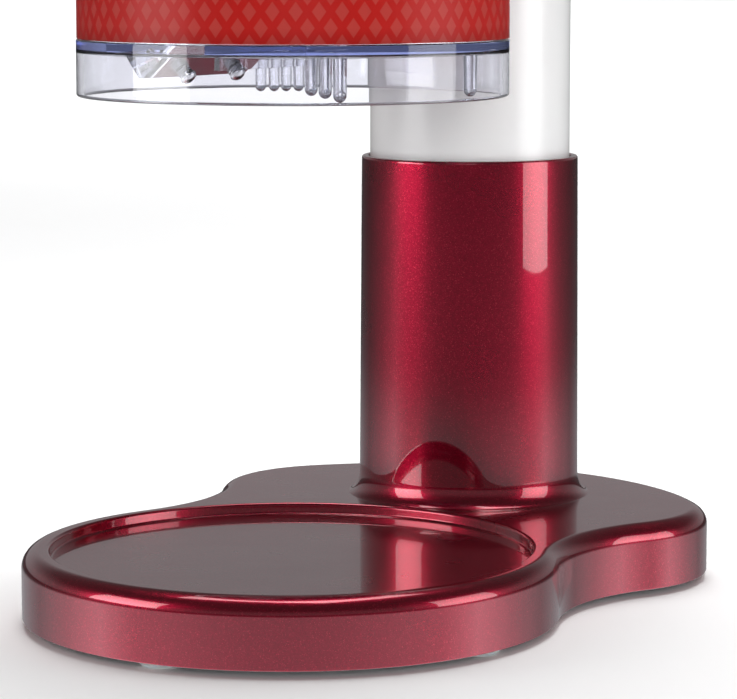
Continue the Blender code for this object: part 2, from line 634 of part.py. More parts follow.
def make_head_housing():
    """The white lower half: the collar over the container, the ring on the column and the floor of the gearbox."""
    housing = prism("head_housing", [head_outline(0.0)], HEAD_BOTTOM, HEAD_SEAM, WHITE_PLASTIC)
    cut(housing, prism("head_inside", [head_outline(HEAD_WALL)], HEAD_FLOOR, HEAD_SEAM + 2.0))
    pocket = prism("neck_pocket", [head_outline(HEAD_WALL)], HEAD_BOTTOM + 2.5, HEAD_FLOOR + 1.0)
    cut(pocket, cylinder("collar_keeper", COLLAR_BORE + 2.5, 200.0, 300.0, (0.0, AXIS_Y), sides=ROUND))
    cut(pocket, cylinder("ring_keeper", HEAD_BACK_R + 1.0, 200.0, 300.0, (0.0, COLUMN_Y), sides=ROUND))
    cut(housing, pocket)
    cut(housing, cylinder("collar_bore", COLLAR_BORE, 250.0, HEAD_CEILING, (0.0, AXIS_Y), sides=ROUND))
    cut(housing, cylinder("column_bore", TUBE_R + 0.5, 250.0, HEAD_CEILING, (0.0, COLUMN_Y), sides=ROUND))
    join(housing, cylinder("shaft_boss", 10.0, 264.0, 277.0, (0.0, AXIS_Y), sides=32))
    cut(housing, cylinder("shaft_hole", BUSH_R + GAP, 260.0, 280.0, (0.0, AXIS_Y), sides=20))
    cut(housing, cylinder("lead_hole", 9.0, 270.0, 276.0, (0.0, COLUMN_Y), sides=20))
    for i, (x, y) in enumerate(HEAD_SCREWS):
        low = HEAD_CEILING if y < AXIS_Y else HEAD_BOTTOM
        join(housing, cylinder(f"head_post_{i + 1}", 4.5, low + 0.5, HEAD_SEAM, (x, y), sides=12))
        cut(housing, cylinder(f"head_post_hole_{i + 1}", SCREW_HOLE_R + 0.2, 250.0, 300.0, (x, y), sides=12))
    for i, (x, y) in enumerate(PLATE_POSTS):
        floor = HEAD_FLOOR - 1.0 if y < AXIS_Y + 50.0 else HEAD_BOTTOM + 1.0
        join(housing, cylinder(f"plate_post_{i + 1}", 4.0, floor, GEAR_PLATE[0] - GAP, (x, y), sides=12))
        cut(housing, cylinder(f"plate_post_hole_{i + 1}", SCREW_HOLE_R, 280.0, 300.0, (x, y), sides=12))
    join(housing, cylinder("pin_boss", 4.6, 273.0, 277.5, (0.0, REDUCTION_Y), sides=12))
    cut(housing, cylinder("pin_boss_hole", 2.3, 275.0, 280.0, (0.0, REDUCTION_Y), sides=12))
    for i, angle in enumerate(LUG_ANGLES):
        join(housing, prism(f"ledge_{i + 1}", [ring_sector(CUP_R + 0.8, COLLAR_BORE + 1.0, angle, LEDGE_WIDTH)],
                            HEAD_BOTTOM + 0.5, 261.7, at=(0.0, AXIS_Y)))
        stop_angle = angle - LUG_WIDTH / 2 - 2.2
        join(housing, prism(f"stop_{i + 1}", [ring_sector(CUP_R + 1.0, COLLAR_BORE + 1.0, stop_angle, 3.0, 3)],
                            HEAD_BOTTOM + 1.0, HEAD_CEILING + 0.5, at=(0.0, AXIS_Y)))
    interlock_x = -INTERLOCK_R
    join(housing, cylinder("interlock_guide", 6.3, 273.0, 279.3, (interlock_x, AXIS_Y), sides=12))
    cut(housing, cylinder("interlock_hole", 2.8, 270.0, 285.0, (interlock_x, AXIS_Y), sides=12))
    join(housing, box("interlock_post", (interlock_x + 6.5, interlock_x + 10.0), (-6.0, 6.0), (273.0, 301.0),
                      at=(0.0, AXIS_Y, 0.0)))


def make_head_cover():
    """The red upper half, with rounded shoulders and the button's well."""
    cover = prism("head_cover", [head_outline(0.0)], HEAD_SEAM + GAP, HEAD_TOP, RED_PAINT)
    round_rim(cover, COVER_ROUND, 4)
    inside = prism("cover_inside", [head_outline(HEAD_WALL)], HEAD_SEAM - 5.0, HEAD_TOP - HEAD_WALL)
    round_rim(inside, COVER_ROUND - HEAD_WALL, 2)
    cut(cover, inside)
    for i, (x, y) in enumerate(HEAD_SCREWS):
        join(cover, cylinder(f"cover_boss_{i + 1}", 4.5, HEAD_SEAM + GAP, HEAD_TOP - 2.0, (x, y), sides=12))
        cut(cover, cylinder(f"cover_boss_hole_{i + 1}", SCREW_HOLE_R, 290.0, HEAD_SEAM + 14.0, (x, y), sides=12))
    join(cover, cylinder("well_wall", WELL_R + 2.5, WELL_FLOOR - 2.5, HEAD_TOP - 1.0, (0.0, AXIS_Y), sides=ROUND))
    cut(cover, cylinder("well", WELL_R, WELL_FLOOR, HEAD_TOP + 5.0, (0.0, AXIS_Y), sides=ROUND))
    cut(cover, cylinder("stem_hole", STEM_R + 0.8, WELL_FLOOR - 5.0, WELL_FLOOR + 5.0, (0.0, AXIS_Y), sides=20))
    turned("button_bezel", [(WELL_R + 5.0, HEAD_TOP + GAP + 0.6), (WELL_R + 4.6, HEAD_TOP + GAP),
                            (WELL_R + 0.8, HEAD_TOP + GAP), (WELL_R + 0.8, HEAD_TOP + 2.0),
                            (WELL_R + 2.0, HEAD_TOP + 2.6), (WELL_R + 3.6, HEAD_TOP + 2.2)],
           (0.0, AXIS_Y), CHROME, steps=32)
    for i, (x, y) in enumerate(HEAD_SCREWS):
        low = HEAD_CEILING if y < AXIS_Y else HEAD_BOTTOM
        screw(f"head_screw_{i + 1}", (x, y, low - GAP), (0, 0, 1), HEAD_SEAM + 10.0 - low)


def make_start_button():
    """The cap, its stem and skirt, the spring under it, and the switch that it works."""
    skirt = WELL_FLOOR + BUTTON_TRAVEL + GAP
    profile = [(0.0, 352.0), (10.0, 351.7), (18.0, 350.6), (22.0, 348.8), (BUTTON_R, 346.5), (BUTTON_R, skirt),
               (BUTTON_R - 2.2, skirt), (BUTTON_R - 2.2, 346.0), (STEM_R, 346.0), (STEM_R, STEM_BOTTOM + 0.6),
               (STEM_R - 0.6, STEM_BOTTOM), (0.0, STEM_BOTTOM)]
    turned("start_button", profile, (0.0, AXIS_Y), WHITE_PLASTIC, steps=28)
    tube("button_spring", helix(9.5, WELL_FLOOR + 1.0, 345.0, 3, (0.0, AXIS_Y)), 0.6, STEEL)
    switch = box("start_switch", (-10.0, 10.0), (-3.2, 3.2), (SWITCH_TOP - 10.5, SWITCH_TOP), DARK_PLASTIC,
                 at=(0.0, AXIS_Y, 0.0))
    cut(switch, cylinder("plunger_hole", 1.9, SWITCH_TOP - 8.0, SWITCH_TOP + 2.0, (0.0, AXIS_Y), sides=12))
    cylinder("switch_plunger", 1.5, SWITCH_TOP - 2.5, STEM_BOTTOM - GAP, (0.0, AXIS_Y), SILICONE, sides=12)
    foot, shelf = GEAR_PLATE[1] + GAP, SWITCH_TOP - 10.5 - GAP
    bracket = box("switch_bracket", (-9.0, 9.0), (10.0, 11.5), (foot, shelf), STEEL, at=(0.0, AXIS_Y, 0.0))
    join(bracket, box("bracket_foot", (-9.0, 9.0), (11.0, 20.0), (foot, foot + 1.5), at=(0.0, AXIS_Y, 0.0)),
         box("bracket_shelf", (-9.0, 9.0), (-3.2, 11.0), (shelf - 1.5, shelf), at=(0.0, AXIS_Y, 0.0)))


def make_interlock():
    """The pin that the container's cam lifts, its return spring and the switch above it."""
    at = (-INTERLOCK_R, AXIS_Y)
    turned("interlock_pin", [(0.0, 287.0), (1.5, 287.0), (1.5, 283.0), (4.0, 283.0), (4.0, 281.6),
                             (2.3, 281.6 - GAP), (2.3, INTERLOCK_TIP + 0.8), (1.2, INTERLOCK_TIP),
                             (0.0, INTERLOCK_TIP)], at, STEEL, steps=16)
    tube("interlock_spring", helix(2.8, 283.8, 288.6, 3, at, per_turn=8), 0.35, STEEL)
    switch = box("interlock_switch", (-5.2, 6.0), (-4.0, 4.0), (289.4, 299.5), DARK_PLASTIC, at=(*at, 0.0))
    cut(switch, cylinder("interlock_switch_hole", 2.0, 285.0, 294.0, at, sides=12))


# ---------------------------------------------------------------- drive

def make_gear_plate():
    """The plate that closes the gearbox and carries the motor."""
    front, back = (0.0, AXIS_Y), (0.0, AXIS_Y + 81.0)
    slant = math.asin((PLATE_FRONT_R - PLATE_BACK_R) / math.dist(front, back))
    outline = mirrored(arc(front, PLATE_FRONT_R, -math.pi / 2, slant, 10)
                       + arc(back, PLATE_BACK_R, slant, math.pi / 2, 7))
    plate = prism("gear_plate", [outline], *GEAR_PLATE, GEAR_NYLON)
    cut(plate, cylinder("upper_bush_hole", BUSH_R + GAP, 280.0, 300.0, (0.0, AXIS_Y), sides=20),
        cylinder("pin_hole", 2.3, 280.0, 300.0, (0.0, REDUCTION_Y), sides=12),
        cylinder("motor_boss_hole", 6.5, 280.0, 300.0, (0.0, MOTOR_Y), sides=20))
    for i, (x, y) in enumerate(PLATE_POSTS):
        cut(plate, cylinder(f"plate_screw_hole_{i + 1}", 2.0, 280.0, 300.0, (x, y), sides=12))
        screw(f"gear_plate_screw_{i + 1}", (x, y, GEAR_PLATE[1] + GAP), (0, 0, -1), 9.0)
    for i, side in enumerate((-1, 1)):
        x = side * MOTOR_SCREW_X
        cut(plate, cylinder(f"motor_screw_hole_{i + 1}", 1.8, 280.0, 300.0, (x, MOTOR_Y), sides=12))


def make_motor():
    low, high = MOTOR
    body = turned("motor_body", [(0.0, high), (MOTOR_R - 1.5, high), (MOTOR_R, high - 1.5), (MOTOR_R, low + 1.0),
                                 (MOTOR_R - 1.0, low), (6.0, low), (6.0, GEAR_PLATE[0] + 0.2),
                                 (0.0, GEAR_PLATE[0] + 0.2)], (0.0, MOTOR_Y), STEEL, steps=32)
    cut(body, cylinder("motor_bore", MOTOR_SHAFT_R + 0.3, 285.0, 304.0, (0.0, MOTOR_Y), sides=20))
    for i, side in enumerate((-1, 1)):
        x = side * MOTOR_SCREW_X
        cut(body, cylinder(f"motor_thread_{i + 1}", 1.6, low - 2.0, low + 6.0, (x, MOTOR_Y), sides=12))
        screw(f"motor_screw_{i + 1}", (x, MOTOR_Y, GEAR_PLATE[0] - GAP), (0, 0, 1), 7.5, head_r=2.4,
              head_high=1.2, shaft_r=1.25)
    cap = turned("motor_end_cap", [(0.0, high + 4.6), (5.0, high + 4.6), (5.5, high + 2.4), (MOTOR_R - 3.0, high + 2.2),
                                   (MOTOR_R - 2.4, high + GAP), (0.0, high + GAP)], (0.0, MOTOR_Y), DARK_PLASTIC,
                 steps=32)
    for i, side in enumerate((-1, 1)):
        join(cap, box(f"terminal_{i + 1}", (side * 10.0 - 1.5, side * 10.0 + 1.5), (-0.5, 0.5),
                      (high + 1.0, high + 6.5), at=(0.0, MOTOR_Y, 0.0)))
    cylinder("motor_shaft", MOTOR_SHAFT_R, 284.0, 303.0, (0.0, MOTOR_Y), STEEL, sides=20)


def make_gears():
    bore = circle(SHAFT_R + GAP, count=20)
    drive = prism("drive_gear", [gear_outline(DRIVE_TEETH, 90.0, addendum=0.8, flank_points=2), bore],
                  277.6, 283.6, GEAR_NYLON, at=(0.0, AXIS_Y))
    hub = prism("drive_hub", [circle(9.0, count=20), bore], 283.0, 288.5, at=(0.0, AXIS_Y))
    join(drive, hub)
    pin_bore = circle(2.35, count=20)
    reduction = prism("reduction_gear", [gear_outline(LARGE_TEETH, 90.0, addendum=0.8, flank_points=2), pin_bore],
                      285.0, 289.4, GEAR_NYLON, at=(0.0, REDUCTION_Y))
    join(reduction, prism("reduction_small", [gear_outline(SMALL_TEETH, 270.0 + 180.0 / SMALL_TEETH), pin_bore],
                          278.0, 285.5, at=(0.0, REDUCTION_Y)))
    cylinder("reduction_pin", 2.0, 275.4, GEAR_PLATE[1] + 0.5, (0.0, REDUCTION_Y), STEEL, sides=20)
    prism("motor_pinion", [gear_outline(PINION_TEETH, 270.0 + 180.0 / PINION_TEETH), circle(MOTOR_SHAFT_R + 0.15)],
          284.4, 290.2, BRASS, at=(0.0, MOTOR_Y))


def make_shaft():
    at = (0.0, AXIS_Y)
    turned("drive_shaft", [(0.0, SHAFT_TOP), (SHAFT_R - 0.6, SHAFT_TOP), (SHAFT_R, SHAFT_TOP - 0.6),
                           (SHAFT_R, 207.0), (0.0, 207.0)], at, STEEL, steps=20)

    def ring(name, low, high, outer, paint, flange=None):
        profile = [(outer, high), (outer, low), (BUSH_BORE, low), (BUSH_BORE, high)]
        if flange:
            profile = [(flange, high), (flange, high - 1.0), (outer, high - 1.0), *profile[1:]]
        turned(name, profile, at, paint, steps=20)

    ring("lower_bush", 269.8, 277.2, BUSH_R, BRONZE)
    ring("upper_bush", GEAR_PLATE[0] - 1.5, GEAR_PLATE[1] + 1.3, BUSH_R, BRONZE, flange=8.5)
    ring("shaft_seal", 264.6, 269.5, BUSH_R, BLACK_RUBBER)


def make_paddle():
    """The hub and four leaning vanes that push the ice round over the blade."""
    hub = turned("paddle", [(0.0, 250.0), (7.0, 250.0), (9.0, 236.0), (9.0, 199.0), (6.0, 195.6), (0.0, 195.6)],
                 (0.0, AXIS_Y), WHITE_PLASTIC, steps=28)
    for i in range(4):
        spin = Matrix.Rotation(math.radians(45 + 90 * i), 4, "Z")
        lean = Matrix.Rotation(math.radians(18), 4, "X")
        vane = box(f"vane_{i + 1}", (4.0, 62.0), (-1.6, 1.6), (-24.0, 20.0), at=(0.0, AXIS_Y, 215.0), turn=spin @ lean)
        join(hub, vane)
    cut(hub, box("vane_floor", (-80.0, 80.0), (-80.0, 80.0), (150.0, 195.6), at=(0.0, AXIS_Y, 0.0)))
    cut(hub, cylinder("paddle_bore", SHAFT_R + GAP, 206.6, 260.0, (0.0, AXIS_Y), sides=20))


# ---------------------------------------------------------------- assembly

def main():
    for old in list(bpy.data.objects):
        bpy.data.objects.remove(old)
    bpy.context.scene.collection.children.link(PARTS)
    bpy.context.scene.collection.children.link(CUTTERS)
    make_base_shell()
    make_base_plate()
    make_feet()
    make_inlet()
    make_column()
    make_container()
    make_label()
    make_blade()
    make_head_housing()
    make_head_cover()
    make_start_button()
    make_interlock()
    make_gear_plate()
    make_motor()
    make_gears()
    make_shaft()
    make_paddle()


main()
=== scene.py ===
"""Looks of the shaved ice machine: fine surfaces, materials, light and camera round the fixed frame.

Lengths are in millimetres and MM turns them into Blender's metres, except where a comment says otherwise.
"""

import json
import math

import bmesh
import bpy
from mathutils import Matrix, Vector


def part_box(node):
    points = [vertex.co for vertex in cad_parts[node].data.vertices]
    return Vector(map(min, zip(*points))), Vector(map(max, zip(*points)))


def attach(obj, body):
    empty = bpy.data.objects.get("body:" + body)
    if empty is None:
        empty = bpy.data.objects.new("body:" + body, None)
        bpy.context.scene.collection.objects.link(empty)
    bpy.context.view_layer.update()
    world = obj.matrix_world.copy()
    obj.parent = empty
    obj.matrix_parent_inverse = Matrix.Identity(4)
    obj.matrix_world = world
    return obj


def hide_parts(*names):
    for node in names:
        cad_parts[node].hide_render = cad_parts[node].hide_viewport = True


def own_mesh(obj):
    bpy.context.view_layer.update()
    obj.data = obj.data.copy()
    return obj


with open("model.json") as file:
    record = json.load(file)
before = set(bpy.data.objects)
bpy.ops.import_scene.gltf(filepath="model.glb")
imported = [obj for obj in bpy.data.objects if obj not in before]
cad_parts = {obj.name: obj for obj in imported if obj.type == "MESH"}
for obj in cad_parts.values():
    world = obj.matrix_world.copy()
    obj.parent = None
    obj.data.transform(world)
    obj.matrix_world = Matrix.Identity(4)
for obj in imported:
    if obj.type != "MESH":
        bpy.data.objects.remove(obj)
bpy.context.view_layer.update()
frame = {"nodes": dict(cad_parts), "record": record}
MM = 0.001
# How far the fine outlines stay inside the CAD's.
TRIM = 0.25
# Two turns that lay a shape's +Z along the frame's Y: towards the back, and towards the user.
TO_BACK = Matrix.Rotation(math.radians(-90), 4, "X")
TO_FRONT = Matrix.Rotation(math.radians(90), 4, "X")


def span(node):
    """A CAD node's low and high ends along each axis, in millimetres."""
    low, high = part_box(node)
    return [(low[i] / MM, high[i] / MM) for i in range(3)]


def middle(node, axis):
    low, high = span(node)[axis]
    return (low + high) / 2


def plan_place(node):
    """A CAD node's middle from above, in millimetres."""
    return middle(node, 0), middle(node, 1)


def places(stem, count):
    return [plan_place(f"{stem}_{i + 1}") for i in range(count)]


# The front disc's radius, then places and sizes read from the frame.
DISC_R = 90.0
SHELL_Y, SHELL_Z = span("base_shell")[1:]
DISH_Y = SHELL_Y[0] + DISC_R
DRUM_Y = middle("label_sleeve", 1)
COLUMN_Y = middle("column_tube", 1)
TUBE_X, _, TUBE_Z = span("column_tube")
TUBE_R = TUBE_X[1]
LABEL_R = span("label_sleeve")[0][1]
LABEL_Z = span("label_sleeve")[2]
HOUSING_Y, HOUSING_Z = span("head_housing")[1:]
COVER_Z = span("head_cover")[2]
BUTTON_X, _, BUTTON_Z = span("start_button")
BEZEL_X, _, BEZEL_Z = span("button_bezel")

# ---------------------------------------------------------------- nodes for materials


class Shade:
    """A Principled material with short ways to add and link nodes."""

    def __init__(self, name, colour, roughness, **sockets):
        self.material = bpy.data.materials.new(name)
        self.material.use_nodes = True
        self.tree = self.material.node_tree
        self.shader = self.tree.nodes["Principled BSDF"]
        self.shader.inputs["Base Color"].default_value = (*colour, 1.0)
        self.shader.inputs["Roughness"].default_value = roughness
        for socket, value in sockets.items():
            self.shader.inputs[socket.replace("_", " ")].default_value = value
        self.place = self.add("ShaderNodeTexCoord").outputs["Object"]

    def add(self, kind, inputs=None, **settings):
        node = self.tree.nodes.new(kind)
        for key, value in settings.items():
            setattr(node, key, value)
        for key, value in (inputs or {}).items():
            if isinstance(value, bpy.types.NodeSocket):
                self.tree.links.new(value, node.inputs[key])
            else:
                node.inputs[key].default_value = value
        return node

    def math(self, operation, a, b=0.0, c=0.0):
        return self.add("ShaderNodeMath", {0: a, 1: b, 2: c}, operation=operation).outputs[0]

    def noise(self, scale, detail=3.0, roughness=0.5, place=None):
        inputs = {"Vector": place or self.place, "Scale": scale, "Detail": detail, "Roughness": roughness}
        return self.add("ShaderNodeTexNoise", inputs).outputs["Fac"]

    def cells(self, scale):
        return self.add("ShaderNodeTexVoronoi", {"Vector": self.place, "Scale": scale}).outputs["Color"]

    def stretched(self, scale):
        return self.add("ShaderNodeMapping", {"Vector": self.place, "Scale": scale}).outputs["Vector"]

    def ramp(self, value, *stops):
        """Stops are (position, grey or colour)."""
        node = self.add("ShaderNodeValToRGB", {"Fac": value})
        elements = node.color_ramp.elements
        while len(elements) < len(stops):
            elements.new(0.5)
        for element, (position, colour) in zip(elements, stops):
            element.position = position
            element.color = (*colour, 1.0) if isinstance(colour, tuple) else (colour, colour, colour, 1.0)
        return node.outputs["Color"]

    def mix(self, factor, a, b):
        node = self.add("ShaderNodeMix", {"Factor": factor}, data_type="RGBA")
        for socket, value in ((node.inputs[6], a), (node.inputs[7], b)):
            if isinstance(value, bpy.types.NodeSocket):
                self.tree.links.new(value, socket)
            else:
                socket.default_value = (*value, 1.0)
        return node.outputs[2]

    def set(self, socket, value):
        self.tree.links.new(value, self.shader.inputs[socket])

    def bump(self, height, depth, strength):
        """Bump of a depth in metres."""
        node = self.add("ShaderNodeBump", {"Height": height, "Distance": depth, "Strength": strength})
        self.set("Normal", node.outputs["Normal"])


def candy_red():
    """Fine metal flake under a red tinted lacquer."""
    shade = Shade("candy_red", (0.28, 0.001, 0.021), 0.3, Metallic=0.92, Coat_Weight=1.0,
                  Coat_Roughness=0.02, Coat_IOR=1.55)
    sparkle = shade.add("ShaderNodeSeparateColor", {"Color": shade.cells(4200.0)}).outputs["Red"]
    flecks = shade.ramp(sparkle, (0.0, (0.20, 0.0006, 0.014)), (0.6, (0.28, 0.001, 0.021)),
                        (0.93, (0.36, 0.003, 0.028)), (1.0, (0.58, 0.03, 0.06)))
    broad = shade.ramp(shade.noise(18.0, 2.0), (0.3, 0.0), (0.7, 0.3))
    shade.set("Base Color", shade.mix(broad, flecks, (0.26, 0.001, 0.019)))
    shade.set("Roughness", shade.math("MULTIPLY_ADD", shade.noise(40.0), 0.06, 0.25))
    shade.bump(sparkle, 0.00003, 0.2)
    return shade.material


def gloss_plastic(name, colour, wash, roughness=0.22):
    """A glossy moulding with faint tone changes and a trace of orange peel."""
    shade = Shade(name, colour, roughness, Coat_Weight=0.12, Coat_Roughness=0.08)
    tone = shade.ramp(shade.noise(9.0, 4.0), (0.35, 0.0), (0.65, 1.0))
    shade.set("Base Color", shade.mix(tone, colour, wash))
    shade.set("Roughness", shade.math("MULTIPLY_ADD", shade.noise(60.0, 2.0), 0.08, roughness - 0.04))
    shade.bump(shade.noise(420.0, 2.0), 0.00001, 0.25)
    return shade.material


def clear_plastic():
    """Clear moulding with faint flow marks. Its body is blue, so it shows most where it is seen edge-on."""
    shade = Shade("clear_cup", (0.88, 0.88, 0.915), 0.02, Transmission_Weight=1.0, IOR=1.46)
    shade.set("Roughness", shade.ramp(shade.noise(50.0, 3.0), (0.35, 0.010), (0.75, 0.045)))
    shade.set("Base Color", shade.ramp(shade.noise(14.0, 2.0), (0.2, (0.86, 0.86, 0.90)),
                                       (0.8, (0.90, 0.90, 0.93))))
    shade.bump(shade.noise(70.0, 2.0), 0.00005, 0.25)
    body = shade.add("ShaderNodeVolumeAbsorption", {"Color": (0.10, 0.22, 0.72, 1.0), "Density": 11.0})
    output = shade.tree.nodes["Material Output"]
    shade.tree.links.new(body.outputs["Volume"], output.inputs["Volume"])
    return shade.material


DIAMOND_WIDE = 7.2
DIAMOND_HIGH = 10.0
DIAMOND_REACH = 3.0
# Keeps the pattern's counts above zero, with a diamond's middle on the drum's +X side.
PATTERN_START = 40.5


def printed_label():
    """A printed film: a red ground with staggered lighter diamonds, with painted shade darkening it along
    its lower edge.
    """
    shade = Shade("printed_label", (0.42, 0.012, 0.009), 0.35, Coat_Weight=0.03, Coat_Roughness=0.12,
                  Specular_IOR_Level=0.1)
    axes = shade.add("ShaderNodeSeparateXYZ", {"Vector": shade.place})
    turn = shade.math("ARCTAN2", axes.outputs["Y"], axes.outputs["X"])
    columns = round(2 * math.pi * LABEL_R / DIAMOND_WIDE)
    across = shade.math("MULTIPLY", turn, columns / (2 * math.pi))
    above = shade.math("SUBTRACT", axes.outputs["Z"], LABEL_Z[0] * MM)
    up = shade.math("DIVIDE", above, DIAMOND_HIGH * MM)

    def off_centre(count, shift):
        """How far a count of cells is from the middle of its cell."""
        part = shade.math("FRACT", shade.math("ADD", count, PATTERN_START + shift))
        return shade.math("ABSOLUTE", shade.math("SUBTRACT", part, 0.5))

    def diamond(shift):
        """Distance from the nearest diamond's centre: 1 on its edge."""
        x = shade.math("MULTIPLY", off_centre(across, shift), DIAMOND_REACH)
        return shade.math("ADD", x, shade.math("MULTIPLY", off_centre(up, shift), DIAMOND_REACH))

    nearest = shade.math("MINIMUM", diamond(0.0), diamond(0.5))
    inside = shade.ramp(nearest, (0.88, 1.0), (0.98, 0.0))
    ground = shade.mix(shade.noise(30.0, 3.0), (0.40, 0.010, 0.008), (0.44, 0.013, 0.010))
    printed = shade.mix(inside, ground, (0.43, 0.042, 0.034))
    # Painted shade: the label's colour is multiplied down to 0.72 at its lower edge, easing off halfway up a
    # diamond row.
    painted_shade = shade.ramp(up, (0.0, 0.72), (0.5, 1.0))
    darker = shade.add("ShaderNodeMix", {"Factor": 1.0}, data_type="RGBA", blend_type="MULTIPLY")
    shade.tree.links.new(printed, darker.inputs[6])
    shade.tree.links.new(painted_shade, darker.inputs[7])
    shade.set("Base Color", darker.outputs[2])
    shade.set("Roughness", shade.math("MULTIPLY_ADD", shade.noise(160.0), 0.1, 0.3))
    shade.bump(shade.noise(260.0), 0.00002, 0.3)
    return shade.material


def brushed_metal(name, colour, roughness, scale=(60.0, 60.0, 900.0)):
    shade = Shade(name, colour, roughness, Metallic=1.0)
    streaks = shade.noise(1.0, 4.0, place=shade.stretched(scale))
    darker = tuple(c * 0.8 for c in colour)
    shade.set("Base Color", shade.mix(streaks, darker, colour))
    shade.set("Roughness", shade.math("MULTIPLY_ADD", streaks, 0.18, roughness - 0.08))
    shade.bump(streaks, 0.00002, 0.3)
    return shade.material


def grained(name, colour, roughness, scale, depth, variation=0.35, **sockets):
    """A moulded or rubbery surface with a fine grain."""
    shade = Shade(name, colour, roughness, **sockets)
    grain = shade.noise(scale, 4.0, 0.6)
    blotches = shade.noise(25.0, 3.0)
    lighter = tuple(min(1.0, c * (1.0 + variation) + 0.01) for c in colour)
    shade.set("Base Color", shade.mix(blotches, colour, lighter))
    shade.set("Roughness", shade.math("MULTIPLY_ADD", grain, 0.2, roughness - 0.1))
    shade.bump(grain, depth, 0.5)
    return shade.material


RED = candy_red()
WHITE = gloss_plastic("white_gloss", (0.88, 0.88, 0.88), (0.85, 0.855, 0.86))
CLEAR = clear_plastic()
LABEL = printed_label()
STEEL = brushed_metal("bright_steel", (0.60, 0.60, 0.62), 0.26)
BLADE_STEEL = brushed_metal("ground_blade", (0.46, 0.46, 0.49), 0.2, scale=(900.0, 40.0, 900.0))
BRONZE = brushed_metal("sintered_bronze", (0.52, 0.33, 0.15), 0.38)
BRASS = brushed_metal("cut_brass", (0.66, 0.48, 0.18), 0.26)
CHROME = brushed_metal("chrome_ring", (0.82, 0.82, 0.84), 0.12)
NYLON = grained("gear_nylon", (0.74, 0.72, 0.63), 0.42, 900.0, 0.00003, 0.1)
SILICONE = grained("silicone", (0.62, 0.61, 0.59), 0.38, 700.0, 0.00002, 0.15, Subsurface_Weight=0.3)
RUBBER = grained("black_rubber", (0.018, 0.018, 0.019), 0.62, 1200.0, 0.00004)
DARK = grained("dark_plastic", (0.035, 0.035, 0.038), 0.5, 1500.0, 0.00004)
BY_SLOT = {"red_paint": RED, "white_plastic": WHITE, "clear_plastic": CLEAR, "label_print": LABEL,
           "steel": STEEL, "dark_plastic": DARK, "gear_nylon": NYLON, "bronze": BRONZE, "brass": BRASS,
           "silicone": SILICONE, "black_rubber": RUBBER, "chrome": CHROME}

# ---------------------------------------------------------------- shapes


def piece(name, mesh, material=None, matrix=None):
    obj = bpy.data.objects.new(name, mesh)
    bpy.context.scene.collection.objects.link(obj)
    obj.matrix_world = matrix or Matrix.Identity(4)
    if material:
        mesh.materials.clear()
        mesh.materials.append(material)
    return obj


def smooth(mesh, angle=30.0):
    mesh.shade_smooth()
    mesh.set_sharp_from_angle(angle=math.radians(angle))


def finished_mesh(shape, name):
    bmesh.ops.recalc_face_normals(shape, faces=shape.faces)
    mesh = bpy.data.meshes.new(name)
    shape.to_mesh(mesh)
    shape.free()
    smooth(mesh)
    return mesh


def filleted(points, closed=False, steps=6):
    """A profile of (radius, height, corner radius) points with its corners rounded by arcs."""
    made = []
    count = len(points)
    for i, point in enumerate(points):
        corner = Vector(point[:2])
        size = point[2] if len(point) > 2 else 0.0
        if size == 0.0 or (not closed and i in (0, count - 1)):
            made.append(tuple(corner))
            continue
        before = (Vector(points[i - 1][:2]) - corner).normalized()
        after = (Vector(points[(i + 1) % count][:2]) - corner).normalized()
        half = before.angle(after) / 2
        reach = size / math.tan(half)
        centre = corner + (before + after).normalized() * (size / math.sin(half))
        start, end = corner + before * reach - centre, corner + after * reach - centre
        sweep = math.atan2(start.x * end.y - start.y * end.x, start.dot(end))
        for step in range(steps + 1):
            a = sweep * step / steps
            made.append((centre.x + start.x * math.cos(a) - start.y * math.sin(a),
                         centre.y + start.x * math.sin(a) + start.y * math.cos(a)))
    return made


def lathed(name, profile, at, material=None, steps=128, closed=False):
    """A solid of revolution about the vertical through at, from (radius, height) points."""
    shape = bmesh.new()
    rings = []
    for r, z in profile:
        turns = [2 * math.pi * i / steps for i in range(steps)] if r > 1e-6 else [0.0]
        rings.append([shape.verts.new((r * MM * math.cos(a), r * MM * math.sin(a), z * MM)) for a in turns])
    pairs = list(zip(rings, rings[1:])) + ([(rings[-1], rings[0])] if closed else [])
    for first, second in pairs:
        for i in range(steps):
            j = (i + 1) % steps
            corners = []
            for ring, k in ((first, i), (first, j), (second, j), (second, i)):
                corner = ring[k % len(ring)]
                if corner not in corners:
                    corners.append(corner)
            if len(corners) > 2:
                shape.faces.new(corners)
    place = Matrix.Translation((at[0] * MM, at[1] * MM, 0.0))
    return piece(name, finished_mesh(shape, name), material, place)


def lofted(name, loops, material=None):
    """A solid through closed loops of (x, y, z) points, one above the other, with flat ends."""
    shape = bmesh.new()
    rings = [[shape.verts.new(Vector(p) * MM) for p in loop] for loop in loops]
    for first, second in zip(rings, rings[1:]):
        for i in range(len(first)):
            j = (i + 1) % len(first)
            shape.faces.new((first[i], first[j], second[j], second[i]))
    shape.faces.new(rings[0])
    shape.faces.new(rings[-1])
    return piece(name, finished_mesh(shape, name), material)


def block(name, x, y, z, at=(0.0, 0.0, 0.0), turn=None, bevel=0.0):
    """A cutter or a part of another shape, between the low and high ends of x, y and z."""
    low, high = Vector((x[0], y[0], z[0])), Vector((x[1], y[1], z[1]))
    shape = bmesh.new()
    box = Matrix.Translation((low + high) / 2 * MM) @ Matrix.Diagonal((*(high - low), 1.0))
    bmesh.ops.create_cube(shape, size=MM, matrix=box)
    if bevel:
        bmesh.ops.bevel(shape, geom=shape.edges[:], offset=bevel * MM, segments=3, profile=0.5,
                        affect="EDGES")
    place = Matrix.Translation(Vector(at) * MM) @ (turn or Matrix.Identity(4))
    return piece(name, finished_mesh(shape, name), matrix=place)


